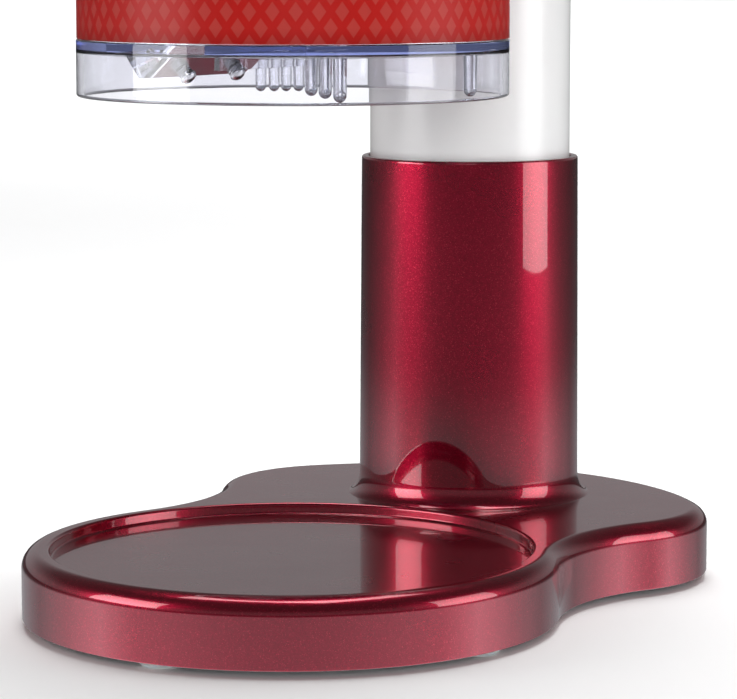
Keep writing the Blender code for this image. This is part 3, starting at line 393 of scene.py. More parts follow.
def rod(name, radius, low, high, at, steps=32, turn=None):
    """A plain cylinder, used as a cutter or joined into another shape."""
    shape = bmesh.new()
    bmesh.ops.create_cone(shape, cap_ends=True, segments=steps, radius1=radius * MM, radius2=radius * MM,
                          depth=(high - low) * MM, matrix=Matrix.Translation((0, 0, (low + high) / 2 * MM)))
    origin = Vector(at if len(at) == 3 else (*at, 0.0)) * MM
    place = Matrix.Translation(origin) @ (turn or Matrix.Identity(4))
    return piece(name, finished_mesh(shape, name), matrix=place)


# Corners nearer than the first are merged after a cut, and edges shorter than the second go. In metres.
MERGE_WITHIN = 0.000002
SHORTEST_EDGE = 0.000001


def combined(obj, steps):
    """Cuts and joins shapes in turn, leaves one plain mesh, and removes the shapes used."""
    for operation, tool in steps:
        step = obj.modifiers.new(tool.name, "BOOLEAN")
        step.operation = operation
        step.object = tool
        tool.hide_render = True
    evaluated = obj.evaluated_get(bpy.context.evaluated_depsgraph_get())
    mesh = bpy.data.meshes.new_from_object(evaluated)
    obj.modifiers.clear()
    obj.data = mesh
    shape = bmesh.new()
    shape.from_mesh(mesh)
    bmesh.ops.remove_doubles(shape, verts=shape.verts, dist=MERGE_WITHIN)
    bmesh.ops.dissolve_degenerate(shape, edges=shape.edges, dist=SHORTEST_EDGE)
    shape.to_mesh(mesh)
    shape.free()
    smooth(mesh)
    for _, tool in steps:
        bpy.data.objects.remove(tool)
    weigh = obj.modifiers.new("even_shading", "WEIGHTED_NORMAL")
    weigh.keep_sharp = True
    return obj


def cut(*tools):
    return [("DIFFERENCE", tool) for tool in tools]


def join(*tools):
    return [("UNION", tool) for tool in tools]


def painted(obj, material):
    obj.data.materials.clear()
    obj.data.materials.append(material)
    return obj


def settle(obj, slot, body, *nodes):
    """Hides the CAD nodes a finished piece stands for and hangs it on the body it moves with. slot is not
    used.
    """
    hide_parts(*nodes)
    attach(obj, body)


def facing(out):
    """The turn that takes +Z to out."""
    return Vector((0, 0, 1)).rotation_difference(Vector(out)).to_matrix().to_4x4()


# ---------------------------------------------------------------- outlines


def arc(centre, radius, start, end, count):
    return [(centre[0] + radius * math.cos(a), centre[1] + radius * math.sin(a))
            for a in (start + (end - start) * i / (count - 1) for i in range(count))]


def direction(tail, head):
    return math.atan2(head[1] - tail[1], head[0] - tail[0])


def mirrored(right_side):
    left_side = [(-x, y) for x, y in reversed(right_side)]
    return right_side + left_side[1:-1]


WAIST_R = 70.0
CORNER_R = 47.0
CORNER_X = 47.5
CORNER_BACK = 117.0


def base_outline(inset):
    """The base from above: front disc, waist, rear corners and rear edge, all tangent arcs."""
    front = (0.0, DISH_Y)
    corner = (CORNER_X, DISH_Y + CORNER_BACK)
    between = math.dist(front, corner)
    to_waist, from_waist = DISC_R + WAIST_R, CORNER_R + WAIST_R
    along = (to_waist ** 2 - from_waist ** 2 + between ** 2) / (2 * between)
    aside = math.sqrt(to_waist ** 2 - along ** 2)
    heading = direction(front, corner)
    waist = (front[0] + along * math.cos(heading) + aside * math.sin(heading),
             front[1] + along * math.sin(heading) - aside * math.cos(heading))
    reach = SHELL_Y[1]
    spare = reach - CORNER_R
    behind = (spare ** 2 - corner[1] ** 2 - corner[0] ** 2) / (2 * (spare - corner[1]))
    rear, rear_r = (0.0, behind), reach - behind
    into_waist = direction(waist, front) + 2 * math.pi
    right = arc(front, DISC_R - inset, -math.pi / 2, direction(front, waist), 66)
    right += arc(waist, WAIST_R + inset, into_waist, direction(waist, corner), 24)[1:]
    right += arc(corner, CORNER_R - inset, direction(corner, waist), direction(rear, corner), 34)[1:]
    right += arc(rear, rear_r - inset, direction(rear, corner), math.pi / 2, 16)[1:]
    return mirrored(right)


HEAD_FRONT_R = DRUM_Y - HOUSING_Y[0]
HEAD_BACK_R = HOUSING_Y[1] - COLUMN_Y


def head_outline(inset):
    """The head from above: a circle over the container and one over the column, joined by straight sides."""
    front, back = (0.0, DRUM_Y), (0.0, COLUMN_Y)
    slant = math.asin((HEAD_FRONT_R - HEAD_BACK_R) / (COLUMN_Y - DRUM_Y))
    right = arc(front, HEAD_FRONT_R - inset, -math.pi / 2, slant, 60)
    right += arc(back, HEAD_BACK_R - inset, slant, math.pi / 2, 36)
    return mirrored(right)


def raised(name, outline, stations, material=None):
    """A solid from an outline function through (inset, height) stations."""
    return lofted(name, [[(x, y, z) for x, y in outline(inset)] for inset, z in stations], material)


# ---------------------------------------------------------------- base

BASE_TOP = 25.5
BASE_BOTTOM = SHELL_Z[0]
EDGE_ROUND = 6.0
DISH_R = 80.5
DISH_FLOOR = 21.7
WALL = 3.0
# How high the base is hollow, under the tray and under the rear lobe.
CEILING = 19.0
LOBE_CEILING = BASE_TOP - WALL
SLEEVE_TOP = SHELL_Z[1]
SLEEVE_TOP_R = 39.0
SLEEVE_FOOT_R = 39.8
SLEEVE_BORE = TUBE_R + 0.5
FLARE_WIDE = 4.6
FLARE_HIGH = 8.0
INLET_Z = middle("inlet_bush", 2)
INLET_HOLE_R = 5.0
BOSS_R = 4.2
BOSS_LOW = 5.3
SCREW_HOLE_R = 1.8
SCREW_HOLE_TOP = 13.5
PLATE_INSET = 3.4
PLATE_HOLE_R = 2.0
PEG_HOLE_R = 2.5
# Cutters that only have to pass through the base end at this height.
PAST_BASE = 40.0


def quarter(count):
    return [math.pi / 2 * i / count for i in range(count + 1)]


def sleeve_profile():
    """The sleeve round the column's foot: its bore, its rounded top edge and its flare onto the base."""
    flare = [(SLEEVE_FOOT_R + FLARE_WIDE * (1 - math.cos(a)),
              BASE_TOP - 0.06 + FLARE_HIGH * (1 - math.sin(a))) for a in quarter(12)]
    seat = TUBE_Z[0] - 0.3
    return [(SLEEVE_BORE, SLEEVE_TOP - 0.4), (TUBE_R + 0.9, SLEEVE_TOP), (SLEEVE_TOP_R - 0.9, SLEEVE_TOP),
            (SLEEVE_TOP_R - 0.35, SLEEVE_TOP - 0.15), (SLEEVE_TOP_R - 0.05, SLEEVE_TOP - 0.6),
            (SLEEVE_TOP_R, SLEEVE_TOP - 1.2), *flare, (SLEEVE_FOOT_R + FLARE_WIDE, BASE_TOP - 4.0),
            (TUBE_R - 3.0, BASE_TOP - 4.0), (TUBE_R - 3.0, seat), (SLEEVE_BORE, seat)]


def dish_profile():
    """The tray's hollow, with a rounded lip and a small fillet round its floor."""
    lip = BASE_TOP + 0.02
    dish = filleted([(0.0, PAST_BASE), (DISH_R + 1.9, PAST_BASE), (DISH_R + 1.9, lip), (DISH_R, lip, 1.2),
                     (DISH_R - 0.2, DISH_FLOOR, 0.9), (0.0, DISH_FLOOR)])
    # The third point only makes the lip's rounding start level, and isn't a point of the profile.
    return [dish[0], dish[1], *dish[3:]]


def base_body():
    """The base with its tray and the sleeve round the column's foot, as one moulding."""
    rim = [(TRIM + EDGE_ROUND * (1 - math.cos(a)), BASE_TOP - EDGE_ROUND * (1 - math.sin(a)))
           for a in quarter(12)]
    body = raised("base_body", base_outline, [(TRIM + 0.8, BASE_BOTTOM), (TRIM + 0.25, BASE_BOTTOM + 0.2),
                                              (TRIM, BASE_BOTTOM + 0.7), *rim])
    lobe = raised("lobe_hollow", base_outline, [(WALL + 0.6, CEILING - 1.0), (WALL + 0.6, LOBE_CEILING)])
    combined(lobe, cut(rod("dish_keeper", DISC_R + WALL, 0.0, PAST_BASE, (0.0, DISH_Y), 96)))
    steps = cut(rod("column_hole", SLEEVE_TOP_R - 0.5, 0.0, PAST_BASE, (0.0, COLUMN_Y), 96),
                raised("under_hollow", base_outline, [(WALL, 0.0), (WALL, CEILING)]), lobe)
    steps += join(lathed("sleeve", sleeve_profile(), (0.0, COLUMN_Y), closed=True, steps=160))
    inlet = (0.0, SHELL_Y[1] - WALL, INLET_Z)
    steps += cut(lathed("dish", dish_profile(), (0.0, DISH_Y), steps=192),
                 rod("inlet_hole", INLET_HOLE_R, -6.0, 10.0, inlet, turn=TO_BACK))
    for i in (1, 2):
        place = (0.0, COLUMN_Y + TUBE_R, middle(f"column_screw_{i}", 2))
        steps += cut(rod(f"sleeve_hole_{i}", SCREW_HOLE_R, -3.0, 12.0, place, 24, TO_BACK))
    for place in places("base_screw", 4):
        ceiling = CEILING if place[1] < DISH_Y + DISC_R else LOBE_CEILING
        steps += join(rod("boss", BOSS_R, BOSS_LOW, ceiling + 1.0, place))
        steps += cut(rod("boss_hole", SCREW_HOLE_R, 0.0, SCREW_HOLE_TOP, place, 24))
    settle(painted(combined(body, steps), RED), "red_paint", "body", "base_shell")


def foot(index):
    """A soft foot with a hollow sole, and the peg that holds it in the plate."""
    name = f"foot_{index}"
    x, _, z = span(name)
    r = (x[1] - x[0]) / 2
    profile = filleted([(0.0, z[1]), (1.2, z[1], 0.3), (2.1, z[1] - 2.0, 0.4), (2.1, 2.7), (r, 2.7, 0.3),
                        (r, 1.0, 0.6), (r - 1.1, 0.0, 0.6), (r - 2.2, 0.0, 0.2), (r - 2.6, 0.35, 0.2),
                        (0.0, 0.35)])
    made = lathed(f"soft_foot_{index}", profile, plan_place(name), SILICONE, steps=64)
    settle(made, "silicone", "body", name)


def inlet_bush():
    """A ribbed rubber bush in the rear wall."""
    y = span("inlet_bush")[1]
    depth = y[1] - y[0]
    profile = filleted([(6.7, 0.0, 0.5), (7.0, 1.2, 0.3), (4.6, 1.6), (4.6, 6.4, 0.2), (5.6, 6.9, 0.3),
                        (5.3, depth, 0.4), (2.6, depth, 0.3), (2.6, 2.2, 0.3), (3.2, 0.0, 0.5)], closed=True)
    made = lathed("rubber_bush", profile, (0.0, 0.0), RUBBER, steps=64, closed=True)
    made.matrix_world = Matrix.Translation((0.0, y[1] * MM, INLET_Z * MM)) @ TO_FRONT
    settle(made, "black_rubber", "body", "inlet_bush")


TUBE_WALL = 2.5


def column():
    low, high = TUBE_Z
    bore = TUBE_R - TUBE_WALL
    profile = filleted([(TUBE_R, high, 0.5), (TUBE_R, low, 0.5), (bore, low, 0.5), (bore, high, 0.5)],
                       closed=True)
    made = lathed("column", profile, (0.0, COLUMN_Y), WHITE, steps=160, closed=True)
    settle(made, "white_plastic", "body", "column_tube")


RECESS_HALF_WIDTH = 0.42


def recessed(screw, top, reach):
    """Cuts a cross recess into a screw's head. top is the head's height and reach is half the recess."""
    narrow, wide = (-RECESS_HALF_WIDTH, RECESS_HALF_WIDTH), (-reach, reach)
    arms = [block("recess", x, y, (top * 0.3, top + 3.0), turn=screw.matrix_world)
            for x, y in ((wide, narrow), (narrow, wide))]
    return combined(screw, cut(*arms))


PAN_HEAD = 1.7
PAN_HEAD_R = 3.0
PAN_SHAFT_R = 1.5


def pan_screw(node, out):
    """A screw with a domed head and a cross recess, along a frame axis. out is where the head faces."""
    axis = max(range(3), key=lambda i: abs(out[i]))
    low, high = span(node)[axis]
    seat = Vector([middle(node, i) for i in range(3)])
    seat[axis] = (high if out[axis] > 0 else low) - out[axis] * PAN_HEAD
    length = high - low - PAN_HEAD
    dome = ((0.0, 1.0), (0.5, 0.97), (0.8, 0.8), (0.97, 0.45), (1.0, 0.15), (0.97, 0.0))
    profile = [(PAN_HEAD_R * r, PAN_HEAD * z) for r, z in dome]
    profile += [(PAN_SHAFT_R, 0.0), (PAN_SHAFT_R, 1.0 - length), (0.0, -length)]
    made = lathed(f"{node}_fine", profile, (0.0, 0.0), STEEL, steps=40)
    made.matrix_world = Matrix.Translation(seat * MM) @ facing(out)
    bpy.context.view_layer.update()
    settle(recessed(made, PAN_HEAD, PAN_HEAD_R * 0.55), "steel", "body", node)


def base_plate():
    """The plate that closes the base from below."""
    low, high = span("base_plate")[2]
    plate = raised("bottom_plate", base_outline, [(PLATE_INSET + 0.4, low), (PLATE_INSET, low + 0.4),
                                                  (PLATE_INSET, high)], DARK)
    holes = [rod("plate_hole", PLATE_HOLE_R, 0.0, 10.0, place, 24) for place in places("base_screw", 4)]
    holes += [rod("peg_hole", PEG_HOLE_R, 0.0, 10.0, place, 24) for place in places("foot", 5)]
    settle(combined(plate, cut(*holes)), "dark_plastic", "body", "base_plate")


# ---------------------------------------------------------------- ice container

SKIRT_BOTTOM = span("ice_container")[2][0]
SKIRT_R = 71.0
FLOOR_BOTTOM = SKIRT_BOTTOM + 15.5
FLOOR_TOP = LABEL_Z[0] - 0.6
CUP_R = SKIRT_R - 1.0
CUP_BORE = 67.5
CUP_TOP = 270.0
CAM_RISE = span("ice_container")[2][1] - CUP_TOP
SLOT_X = (-8.5, 6.0)
SLOT_Y = (-60.0, -4.0)
BLADE_SLOPE = math.radians(43.0)
BLADE_TIP = Vector((span("blade")[0][1], DRUM_Y, span("blade")[2][1]))
BLADE_WIDTH = 18.5
BLADE_THICK = 1.0
BLADE_SCREW_DOWN = 14.5
BLADE_SCREWS_Y = (-46.0, -17.0)
GUIDE_PINS = ((42.6, -42.6), (25.0, -21.7), (11.0, -7.0), (57.6, 14.4))
FLUTES = ((-22.0, 15.0), (-18.1, 17.2), (-14.6, 19.3), (-11.0, 21.4))
SLOT_RIB = ((7.5, 9.3), (-59.0, 9.0), (185.3, FLOOR_BOTTOM + 1.0))
GUIDE_PIN_R = 2.3
FLUTE_R = 2.0
CAM_TURN = 30.0
LUG_ANGLES = (90.0, 210.0, 330.0)
LUG_WIDTH = 24.0
LUG_R = 73.0
LUG_Z = (262.0, 266.0)
UP_BLADE = Vector((math.cos(BLADE_SLOPE), 0.0, math.sin(BLADE_SLOPE)))
OUT_OF_BLADE = Vector((math.sin(BLADE_SLOPE), 0.0, -math.cos(BLADE_SLOPE)))


def sector(name, inner, outer, middle_angle, width, low, high, chamfer=0.0):
    """A piece of a ring round the drum's axis, with its angles in degrees and its outer edges chamfered."""
    start, end = math.radians(middle_angle - width / 2), math.radians(middle_angle + width / 2)
    stations = [(0.0, low), (0.0, high)]
    if chamfer:
        stations = [(chamfer, low), (0.0, low + chamfer), (0.0, high - chamfer), (chamfer, high)]
    loops = []
    centre = (0.0, DRUM_Y)
    for inset, z in stations:
        outline = arc(centre, outer - inset, start, end, 17) + arc(centre, inner, end, start, 17)
        loops.append([(x, y, z) for x, y in outline])
    return lofted(name, loops)


def guide_pin(place, r):
    """A tapered pin with a round end, moulded under the floor."""
    low = SKIRT_BOTTOM + 0.6
    tip_r = r * 0.92
    profile = [(0.0, FLOOR_BOTTOM + 1.0), (r, FLOOR_BOTTOM + 1.0), (tip_r, low + r)]
    profile += [(tip_r * math.cos(a), low + r - r * math.sin(a)) for a in quarter(6)[1:-1]]
    return lathed("pin", [*profile, (0.0, low)], (place[0], DRUM_Y + place[1]), steps=24)


def cam_ramp():
    """The ramp on the rim that lifts the interlock's pin."""
    inner, outer = CUP_BORE + 0.3, CUP_R - 0.3
    slope = [(CAM_TURN * i / 8, CAM_RISE * (1 - i / 8)) for i in range(1, 8)]
    loops = []
    for angle, rise in ((-3.5, CAM_RISE), (0.0, CAM_RISE), *slope, (CAM_TURN, 0.03)):
        a = math.radians(180.0 - angle)
        corners = ((inner, CUP_TOP - 1.0), (outer, CUP_TOP - 1.0), (outer, CUP_TOP + rise),
                   (inner, CUP_TOP + rise))
        loops.append([(r * math.cos(a), DRUM_Y + r * math.sin(a), z) for r, z in corners])
    return lofted("cam_ramp", loops)


def blade_seat():
    """The wedge under the floor that carries the blade on its sloping face."""
    behind = BLADE_THICK / math.sin(BLADE_SLOPE) + 0.35
    low = FLOOR_BOTTOM - 8.0
    high = FLOOR_TOP - 0.1

    def back_of_blade(z):
        return BLADE_TIP.x + (z - BLADE_TIP.z) / math.tan(BLADE_SLOPE) - behind

    wedge = [(back_of_blade(high), high), (SLOT_X[0] - 7.5, high), (SLOT_X[0] - 16.0, FLOOR_BOTTOM),
             (back_of_blade(low) - 1.6, low), (back_of_blade(low), low)]
    ends = (DRUM_Y + SLOT_Y[0] - 1.0, DRUM_Y + SLOT_Y[1] + 1.0)
    return lofted("wedge", [[(x, y, z) for x, z in wedge] for y in ends])


def blade_screw_seat(along):
    """Where a blade screw goes through the blade's back."""
    return BLADE_TIP - UP_BLADE * BLADE_SCREW_DOWN + Vector((0, along, 0))


def ice_container():
    """The clear cup with its skirt, floor, slot, blade seat, pins, locking lugs and cam."""
    skirt_bore = SKIRT_R - 2.4
    profile = filleted([(0.0, FLOOR_TOP), (CUP_BORE, FLOOR_TOP, 1.2), (CUP_BORE, CUP_TOP, 0.5),
                        (CUP_R, CUP_TOP, 0.5), (CUP_R, FLOOR_TOP + 0.3), (SKIRT_R, FLOOR_TOP + 0.3, 0.4),
                        (SKIRT_R, SKIRT_BOTTOM, 1.0), (skirt_bore, SKIRT_BOTTOM, 1.0),
                        (skirt_bore, FLOOR_BOTTOM, 1.2), (0.0, FLOOR_BOTTOM)], steps=4)
    cup = lathed("clear_cup", profile, (0.0, DRUM_Y), CLEAR, steps=180)
    at = (0.0, DRUM_Y, 0.0)
    steps = cut(block("slot", SLOT_X, SLOT_Y, (FLOOR_BOTTOM - 2.0, FLOOR_TOP + 2.0), at))
    steps += join(blade_seat(), block("rib", *SLOT_RIB, at))
    steps += join(*(guide_pin(place, GUIDE_PIN_R) for place in GUIDE_PINS))
    steps += join(*(guide_pin(place, FLUTE_R) for place in FLUTES))
    for y in BLADE_SCREWS_Y:
        place = tuple(blade_screw_seat(y))
        steps += cut(rod("wedge_hole", 1.5, -3.0, 8.0, place, 24, facing(-OUT_OF_BLADE)))
    for angle in LUG_ANGLES:
        steps += join(sector("lug", CUP_R - 1.0, LUG_R, angle, LUG_WIDTH, *LUG_Z, 0.5))
    steps += join(cam_ramp())
    settle(combined(cup, steps), "clear_plastic", "container", "ice_container")


def label():
    """The printed sleeve round the cup."""
    low, high = LABEL_Z
    bore = CUP_R + 0.25
    profile = [(LABEL_R - 0.1, high), (LABEL_R, high - 0.1), (LABEL_R, low + 0.1), (LABEL_R - 0.1, low),
               (bore, low), (bore, high)]
    made = lathed("printed_sleeve", profile, (0.0, DRUM_Y), LABEL, steps=180, closed=True)
    settle(made, "label_print", "container", "label_sleeve")


def ice_blade():
    """The steel blade with a ground edge, and its two washer-head screws."""
    y = span("blade")[1]
    edge = [(0.0, 0.0), (0.0, -BLADE_WIDTH + 0.3), (-0.3, -BLADE_WIDTH), (-BLADE_THICK, -BLADE_WIDTH),
            (-BLADE_THICK, -1.45), (-BLADE_THICK + 0.05, -1.35)]
    loops = []
    for place, inset in ((y[0], 0.25), (y[0] + 0.25, 0.0), (y[1] - 0.25, 0.0), (y[1], 0.25)):
        end = Vector((BLADE_TIP.x, place, BLADE_TIP.z))
        loops.append([end + OUT_OF_BLADE * out + UP_BLADE * min(up, -inset) for out, up in edge])
    blade = lofted("ice_blade", loops, BLADE_STEEL)
    holes = []
    for i, along in enumerate(BLADE_SCREWS_Y):
        place = blade_screw_seat(along)
        holes.append(rod("blade_hole", 1.7, -3.0, 4.0, tuple(place), 32, facing(-OUT_OF_BLADE)))
        blade_screw(i + 1, place + OUT_OF_BLADE * 0.3)
    settle(combined(blade, cut(*holes)), "steel", "container", "blade")


def blade_screw(number, seat):
    """A round-headed screw over a stack of washers."""
    stack = 2.6
    profile = [(0.0, stack + 1.9), (1.3, stack + 1.8), (2.2, stack + 1.3), (2.75, stack + 0.5), (2.8, stack)]
    for z in (2.5, 1.6, 0.7):
        profile += [(2.0, z), (2.45, z - 0.1), (2.45, z - 0.5), (2.0, z - 0.6)]
    profile += [(2.0, 0.0), (1.15, 0.0), (1.15, -6.5), (0.0, -7.5)]
    made = lathed(f"blade_screw_{number}_fine", profile, (0.0, 0.0), STEEL, steps=40)
    made.matrix_world = Matrix.Translation(seat * MM) @ facing(OUT_OF_BLADE)
    bpy.context.view_layer.update()
    settle(recessed(made, stack + 1.9, 1.5), "steel", "container", f"blade_screw_{number}")


HUB_R = 9.0
VANE_X = (4.0, 62.0)
VANE_Y = (-1.6, 1.6)
VANE_Z = (-24.0, 20.0)
VANE_MIDDLE = 215.0
VANE_LEAN = 18


def paddle():
    """The hub and four leaning vanes that push the ice round."""
    low, high = span("paddle")[2]
    profile = filleted([(0.0, high), (7.0, high, 1.0), (HUB_R, 236.0, 2.0), (HUB_R, 199.0, 1.5),
                        (6.0, low, 0.5), (0.0, low)])
    hub = lathed("fine_paddle", profile, (0.0, DRUM_Y), WHITE, steps=96)
    lean = Matrix.Rotation(math.radians(VANE_LEAN), 4, "X")
    vanes = [block(f"vane_{i}", VANE_X, VANE_Y, VANE_Z, (0.0, DRUM_Y, VANE_MIDDLE),
                   Matrix.Rotation(math.radians(45 + 90 * i), 4, "Z") @ lean, bevel=1.2) for i in range(4)]
    steps = join(*vanes) + cut(block("under", (-80, 80), (-80, 80), (150.0, low), (0.0, DRUM_Y, 0.0)),
                               rod("bore", 4.3, 206.6, 260.0, (0.0, DRUM_Y)))
    settle(combined(hub, steps), "white_plastic", "drive", "paddle")


# ---------------------------------------------------------------- head

COLLAR_BORE = 73.5
HEAD_WALL = 2.5
HEAD_CEILING = 272.0
HEAD_FLOOR = 274.5
COVER_ROUND = 16.0
SEAM = 0.35
SEAM_GAP = 0.3
HEAD_POST_R = 4.5
PLATE_POST_R = 4.0
PLATE_POST_TOP = 290.7
# How deep the small bosses reach into the gear room's floor.
IN_FLOOR = 273.0
LEDGE_TOP = 261.7
LEDGE_WIDTH = 31.0
GUIDE_R = 6.3
GUIDE_TOP = 279.3
INTERLOCK_POST_TOP = 301.0
WELL_R = 24.0
WELL_DEEP = 11.0
WELL_MOUTH_R = WELL_R + 0.9
BUTTON_CROWN = 3.2
BUTTON_SKIRT = 337.8
BUTTON_CEILING = 346.0
BUTTON_WALL = 2.2
BUTTON_STEM_R = 4.5
SPRING_WIRE_R = 0.6
SPRING_COILS = 3
SPRING_STEPS = 32
SPRING_SIDES = 12


def housing_rooms(low, high):
    """Cutters for the gear room, the room under it, the container's collar and the column's ring."""
    pocket = raised("pocket", head_outline, [(HEAD_WALL, low + 2.5), (HEAD_WALL, HEAD_FLOOR + 1.0)])
    combined(pocket, cut(rod("collar_keeper", COLLAR_BORE + 2.5, 200.0, 300.0, (0.0, DRUM_Y), 160),
                         rod("ring_keeper", HEAD_BACK_R + 1.0, 200.0, 300.0, (0.0, COLUMN_Y), 160)))
    bore = filleted([(0.0, HEAD_CEILING), (COLLAR_BORE, HEAD_CEILING, 1.0), (COLLAR_BORE, low + 0.8),
                     (COLLAR_BORE + 0.8, low), (COLLAR_BORE + 0.8, low - 5.0), (0.0, low - 5.0)])
    ring = [(0.0, HEAD_CEILING), (SLEEVE_BORE, HEAD_CEILING), (SLEEVE_BORE, low + 0.6),
            (TUBE_R + 1.1, low), (TUBE_R + 1.1, low - 5.0), (0.0, low - 5.0)]
    return cut(raised("gear_room", head_outline, [(HEAD_WALL, HEAD_FLOOR), (HEAD_WALL, high + 2.0)]), pocket,
               lathed("collar_bore", bore, (0.0, DRUM_Y), steps=180),
               lathed("column_bore", ring, (0.0, COLUMN_Y), steps=160))


def housing_posts(low, high):
    """The shaft's boss, the lead's hole, the posts for the cover and the gear plate, and the pin's boss."""
    steps = join(rod("shaft_boss", 10.0, 264.0, 277.0, (0.0, DRUM_Y), 64))
    steps += cut(rod("shaft_hole", 7.1, 260.0, 280.0, (0.0, DRUM_Y), 64),
                 rod("lead_hole", 9.0, 270.0, 276.0, (0.0, COLUMN_Y), 48))
    for x, y in places("head_screw", 4):
        floor = HEAD_CEILING if y < DRUM_Y else low
        steps += join(rod("head_post", HEAD_POST_R, floor + 0.5, high, (x, y)))
        steps += cut(rod("head_post_hole", 2.0, 250.0, 300.0, (x, y), 24))
    for x, y in places("gear_plate_screw", 3):
        floor = HEAD_FLOOR - 1.0 if y < DRUM_Y + 50.0 else low + 1.0
        steps += join(rod("plate_post", PLATE_POST_R, floor, PLATE_POST_TOP, (x, y)))
        steps += cut(rod("plate_post_hole", SCREW_HOLE_R, 280.0, 300.0, (x, y), 24))
    pin = plan_place("reduction_pin")
    steps += join(rod("pin_boss", 4.6, IN_FLOOR, 277.5, pin))
    steps += cut(rod("pin_boss_hole", 2.3, 275.0, 280.0, pin, 24))
    return steps


def collar_ledges(low):
    """The ledges that carry the container's lugs, and a stop beside each."""
    steps = []
    wall = COLLAR_BORE + 1.0
    for angle in LUG_ANGLES:
        beside_lug = angle - LUG_WIDTH / 2 - 2.2
        stop_z = (low + 1.0, HEAD_CEILING + 0.5)
        steps += join(sector("ledge", CUP_R + 0.8, wall, angle, LEDGE_WIDTH, low + 0.5, LEDGE_TOP))
        steps += join(sector("stop", CUP_R + 1.0, wall + 0.1, beside_lug, 3.0, *stop_z))
    return steps


def interlock_guide():
    """The guide of the interlock's pin, and the post of its switch."""
    at = plan_place("interlock_pin")
    steps = join(rod("interlock_guide", GUIDE_R, IN_FLOOR, GUIDE_TOP, at))
    steps += cut(rod("interlock_hole", 2.8, 270.0, 285.0, at, 24))
    height = (IN_FLOOR, INTERLOCK_POST_TOP)
    return steps + join(block("interlock_post", (6.5, 10.0), (-6.0, 6.0), height, (*at, 0.0)))


def head_housing():
    """The white lower half of the head, with the collar and the gearbox's floor."""
    low, high = HOUSING_Z[0], COVER_Z[0] - SEAM_GAP
    edge = [(TRIM + 2.0 * (1 - math.sin(a)), low + 2.0 * (1 - math.cos(a))) for a in quarter(6)]
    body = raised("head_lower", head_outline, [*edge, (TRIM, high - SEAM), (TRIM + SEAM, high)])
    steps = housing_rooms(low, high) + housing_posts(low, high) + collar_ledges(low) + interlock_guide()
    settle(painted(combined(body, steps), WHITE), "white_plastic", "body", "head_housing")


def head_cover():
    """The red upper half, with round shoulders and the button's well."""
    low, high = COVER_Z
    well_floor = high - WELL_DEEP

    def shoulder(inset, bottom, top, r, count):
        return [(inset, bottom), *((inset + r * (1 - math.cos(a)), top - r * (1 - math.sin(a)))
                                   for a in quarter(count))]

    stations = [(TRIM + SEAM, low), *shoulder(TRIM, low + SEAM, high, COVER_ROUND, 20)]
    cover = raised("head_upper", head_outline, stations)
    inside = raised("cover_inside", head_outline,
                    shoulder(HEAD_WALL, low - 5.0, high - HEAD_WALL, COVER_ROUND - HEAD_WALL, 10))
    well = filleted([(0.0, high + 5.0), (WELL_MOUTH_R, high + 5.0), (WELL_MOUTH_R, high + 0.02),
                     (WELL_R, high - 0.9), (WELL_R, well_floor, 0.6), (0.0, well_floor)])
    steps = cut(inside)
    for place in places("head_screw", 4):
        steps += join(rod("cover_boss", HEAD_POST_R, low, high - 2.0, place))
        steps += cut(rod("cover_boss_hole", SCREW_HOLE_R, 290.0, low + 14.0, place, 24))
    steps += join(rod("well_wall", WELL_R + 2.5, well_floor - 2.5, high - 1.0, (0.0, DRUM_Y), 128))
    steps += cut(lathed("well", well, (0.0, DRUM_Y), steps=128),
                 rod("stem_hole", 5.3, well_floor - 5.0, well_floor + 5.0, (0.0, DRUM_Y), 40))
    settle(painted(combined(cover, steps), RED), "red_paint", "body", "head_cover")


def start_button():
    """A domed cap with a shallow ring in its top, its skirt and its stem."""
    low, high = BUTTON_Z
    r = BUTTON_X[1]
    inner = r - BUTTON_WALL
    dome_r = r - 1.2
    sphere = (dome_r ** 2 + BUTTON_CROWN ** 2) / (2 * BUTTON_CROWN)

    def crown(radius, sunk=0.0):
        return (radius, high - sphere + math.sqrt(sphere ** 2 - radius ** 2) - sunk)

    profile = [(0.0, high), *(crown(dome_r * i / 16) for i in range(1, 11)), crown(14.4), crown(14.8, 0.35),
               crown(15.6, 0.35), crown(16.0), *(crown(dome_r * i / 16) for i in range(12, 17))]
    profile += filleted([crown(dome_r), (r, high - BUTTON_CROWN - 1.8, 0.8), (r, BUTTON_SKIRT, 0.5),
                         (inner, BUTTON_SKIRT, 0.5), (inner, BUTTON_CEILING, 1.0),
                         (BUTTON_STEM_R, BUTTON_CEILING, 0.6), (BUTTON_STEM_R, low, 0.5), (0.0, low)])[1:]
    made = lathed("push_cap", profile, (0.0, DRUM_Y), WHITE, steps=128)
    settle(made, "white_plastic", "button", "start_button")


def button_spring():
    """The start button's spring, as a fixed helix; on the real machine its coils close up as the button goes
    down.
    """
    (left, right), _, (low, high) = span("button_spring")
    coil_r = (right - left) / 2 - SPRING_WIRE_R
    climb = high - low - 2 * SPRING_WIRE_R
    count = SPRING_COILS * SPRING_STEPS
    wire = []
    for k in range(SPRING_SIDES):
        a = 2 * math.pi * k / SPRING_SIDES
        wire.append((SPRING_WIRE_R * math.cos(a), SPRING_WIRE_R * math.sin(a)))
    loops = []
    for i in range(count + 1):
        turn = 2 * math.pi * i / SPRING_STEPS
        height = low + SPRING_WIRE_R + climb * i / count
        section = [(coil_r + out, height + up) for out, up in wire]
        loops.append([(r * math.cos(turn), DRUM_Y + r * math.sin(turn), z) for r, z in section])
    made = lofted("press_spring", loops, STEEL)
    settle(made, "steel", "body", "button_spring")
    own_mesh(made)


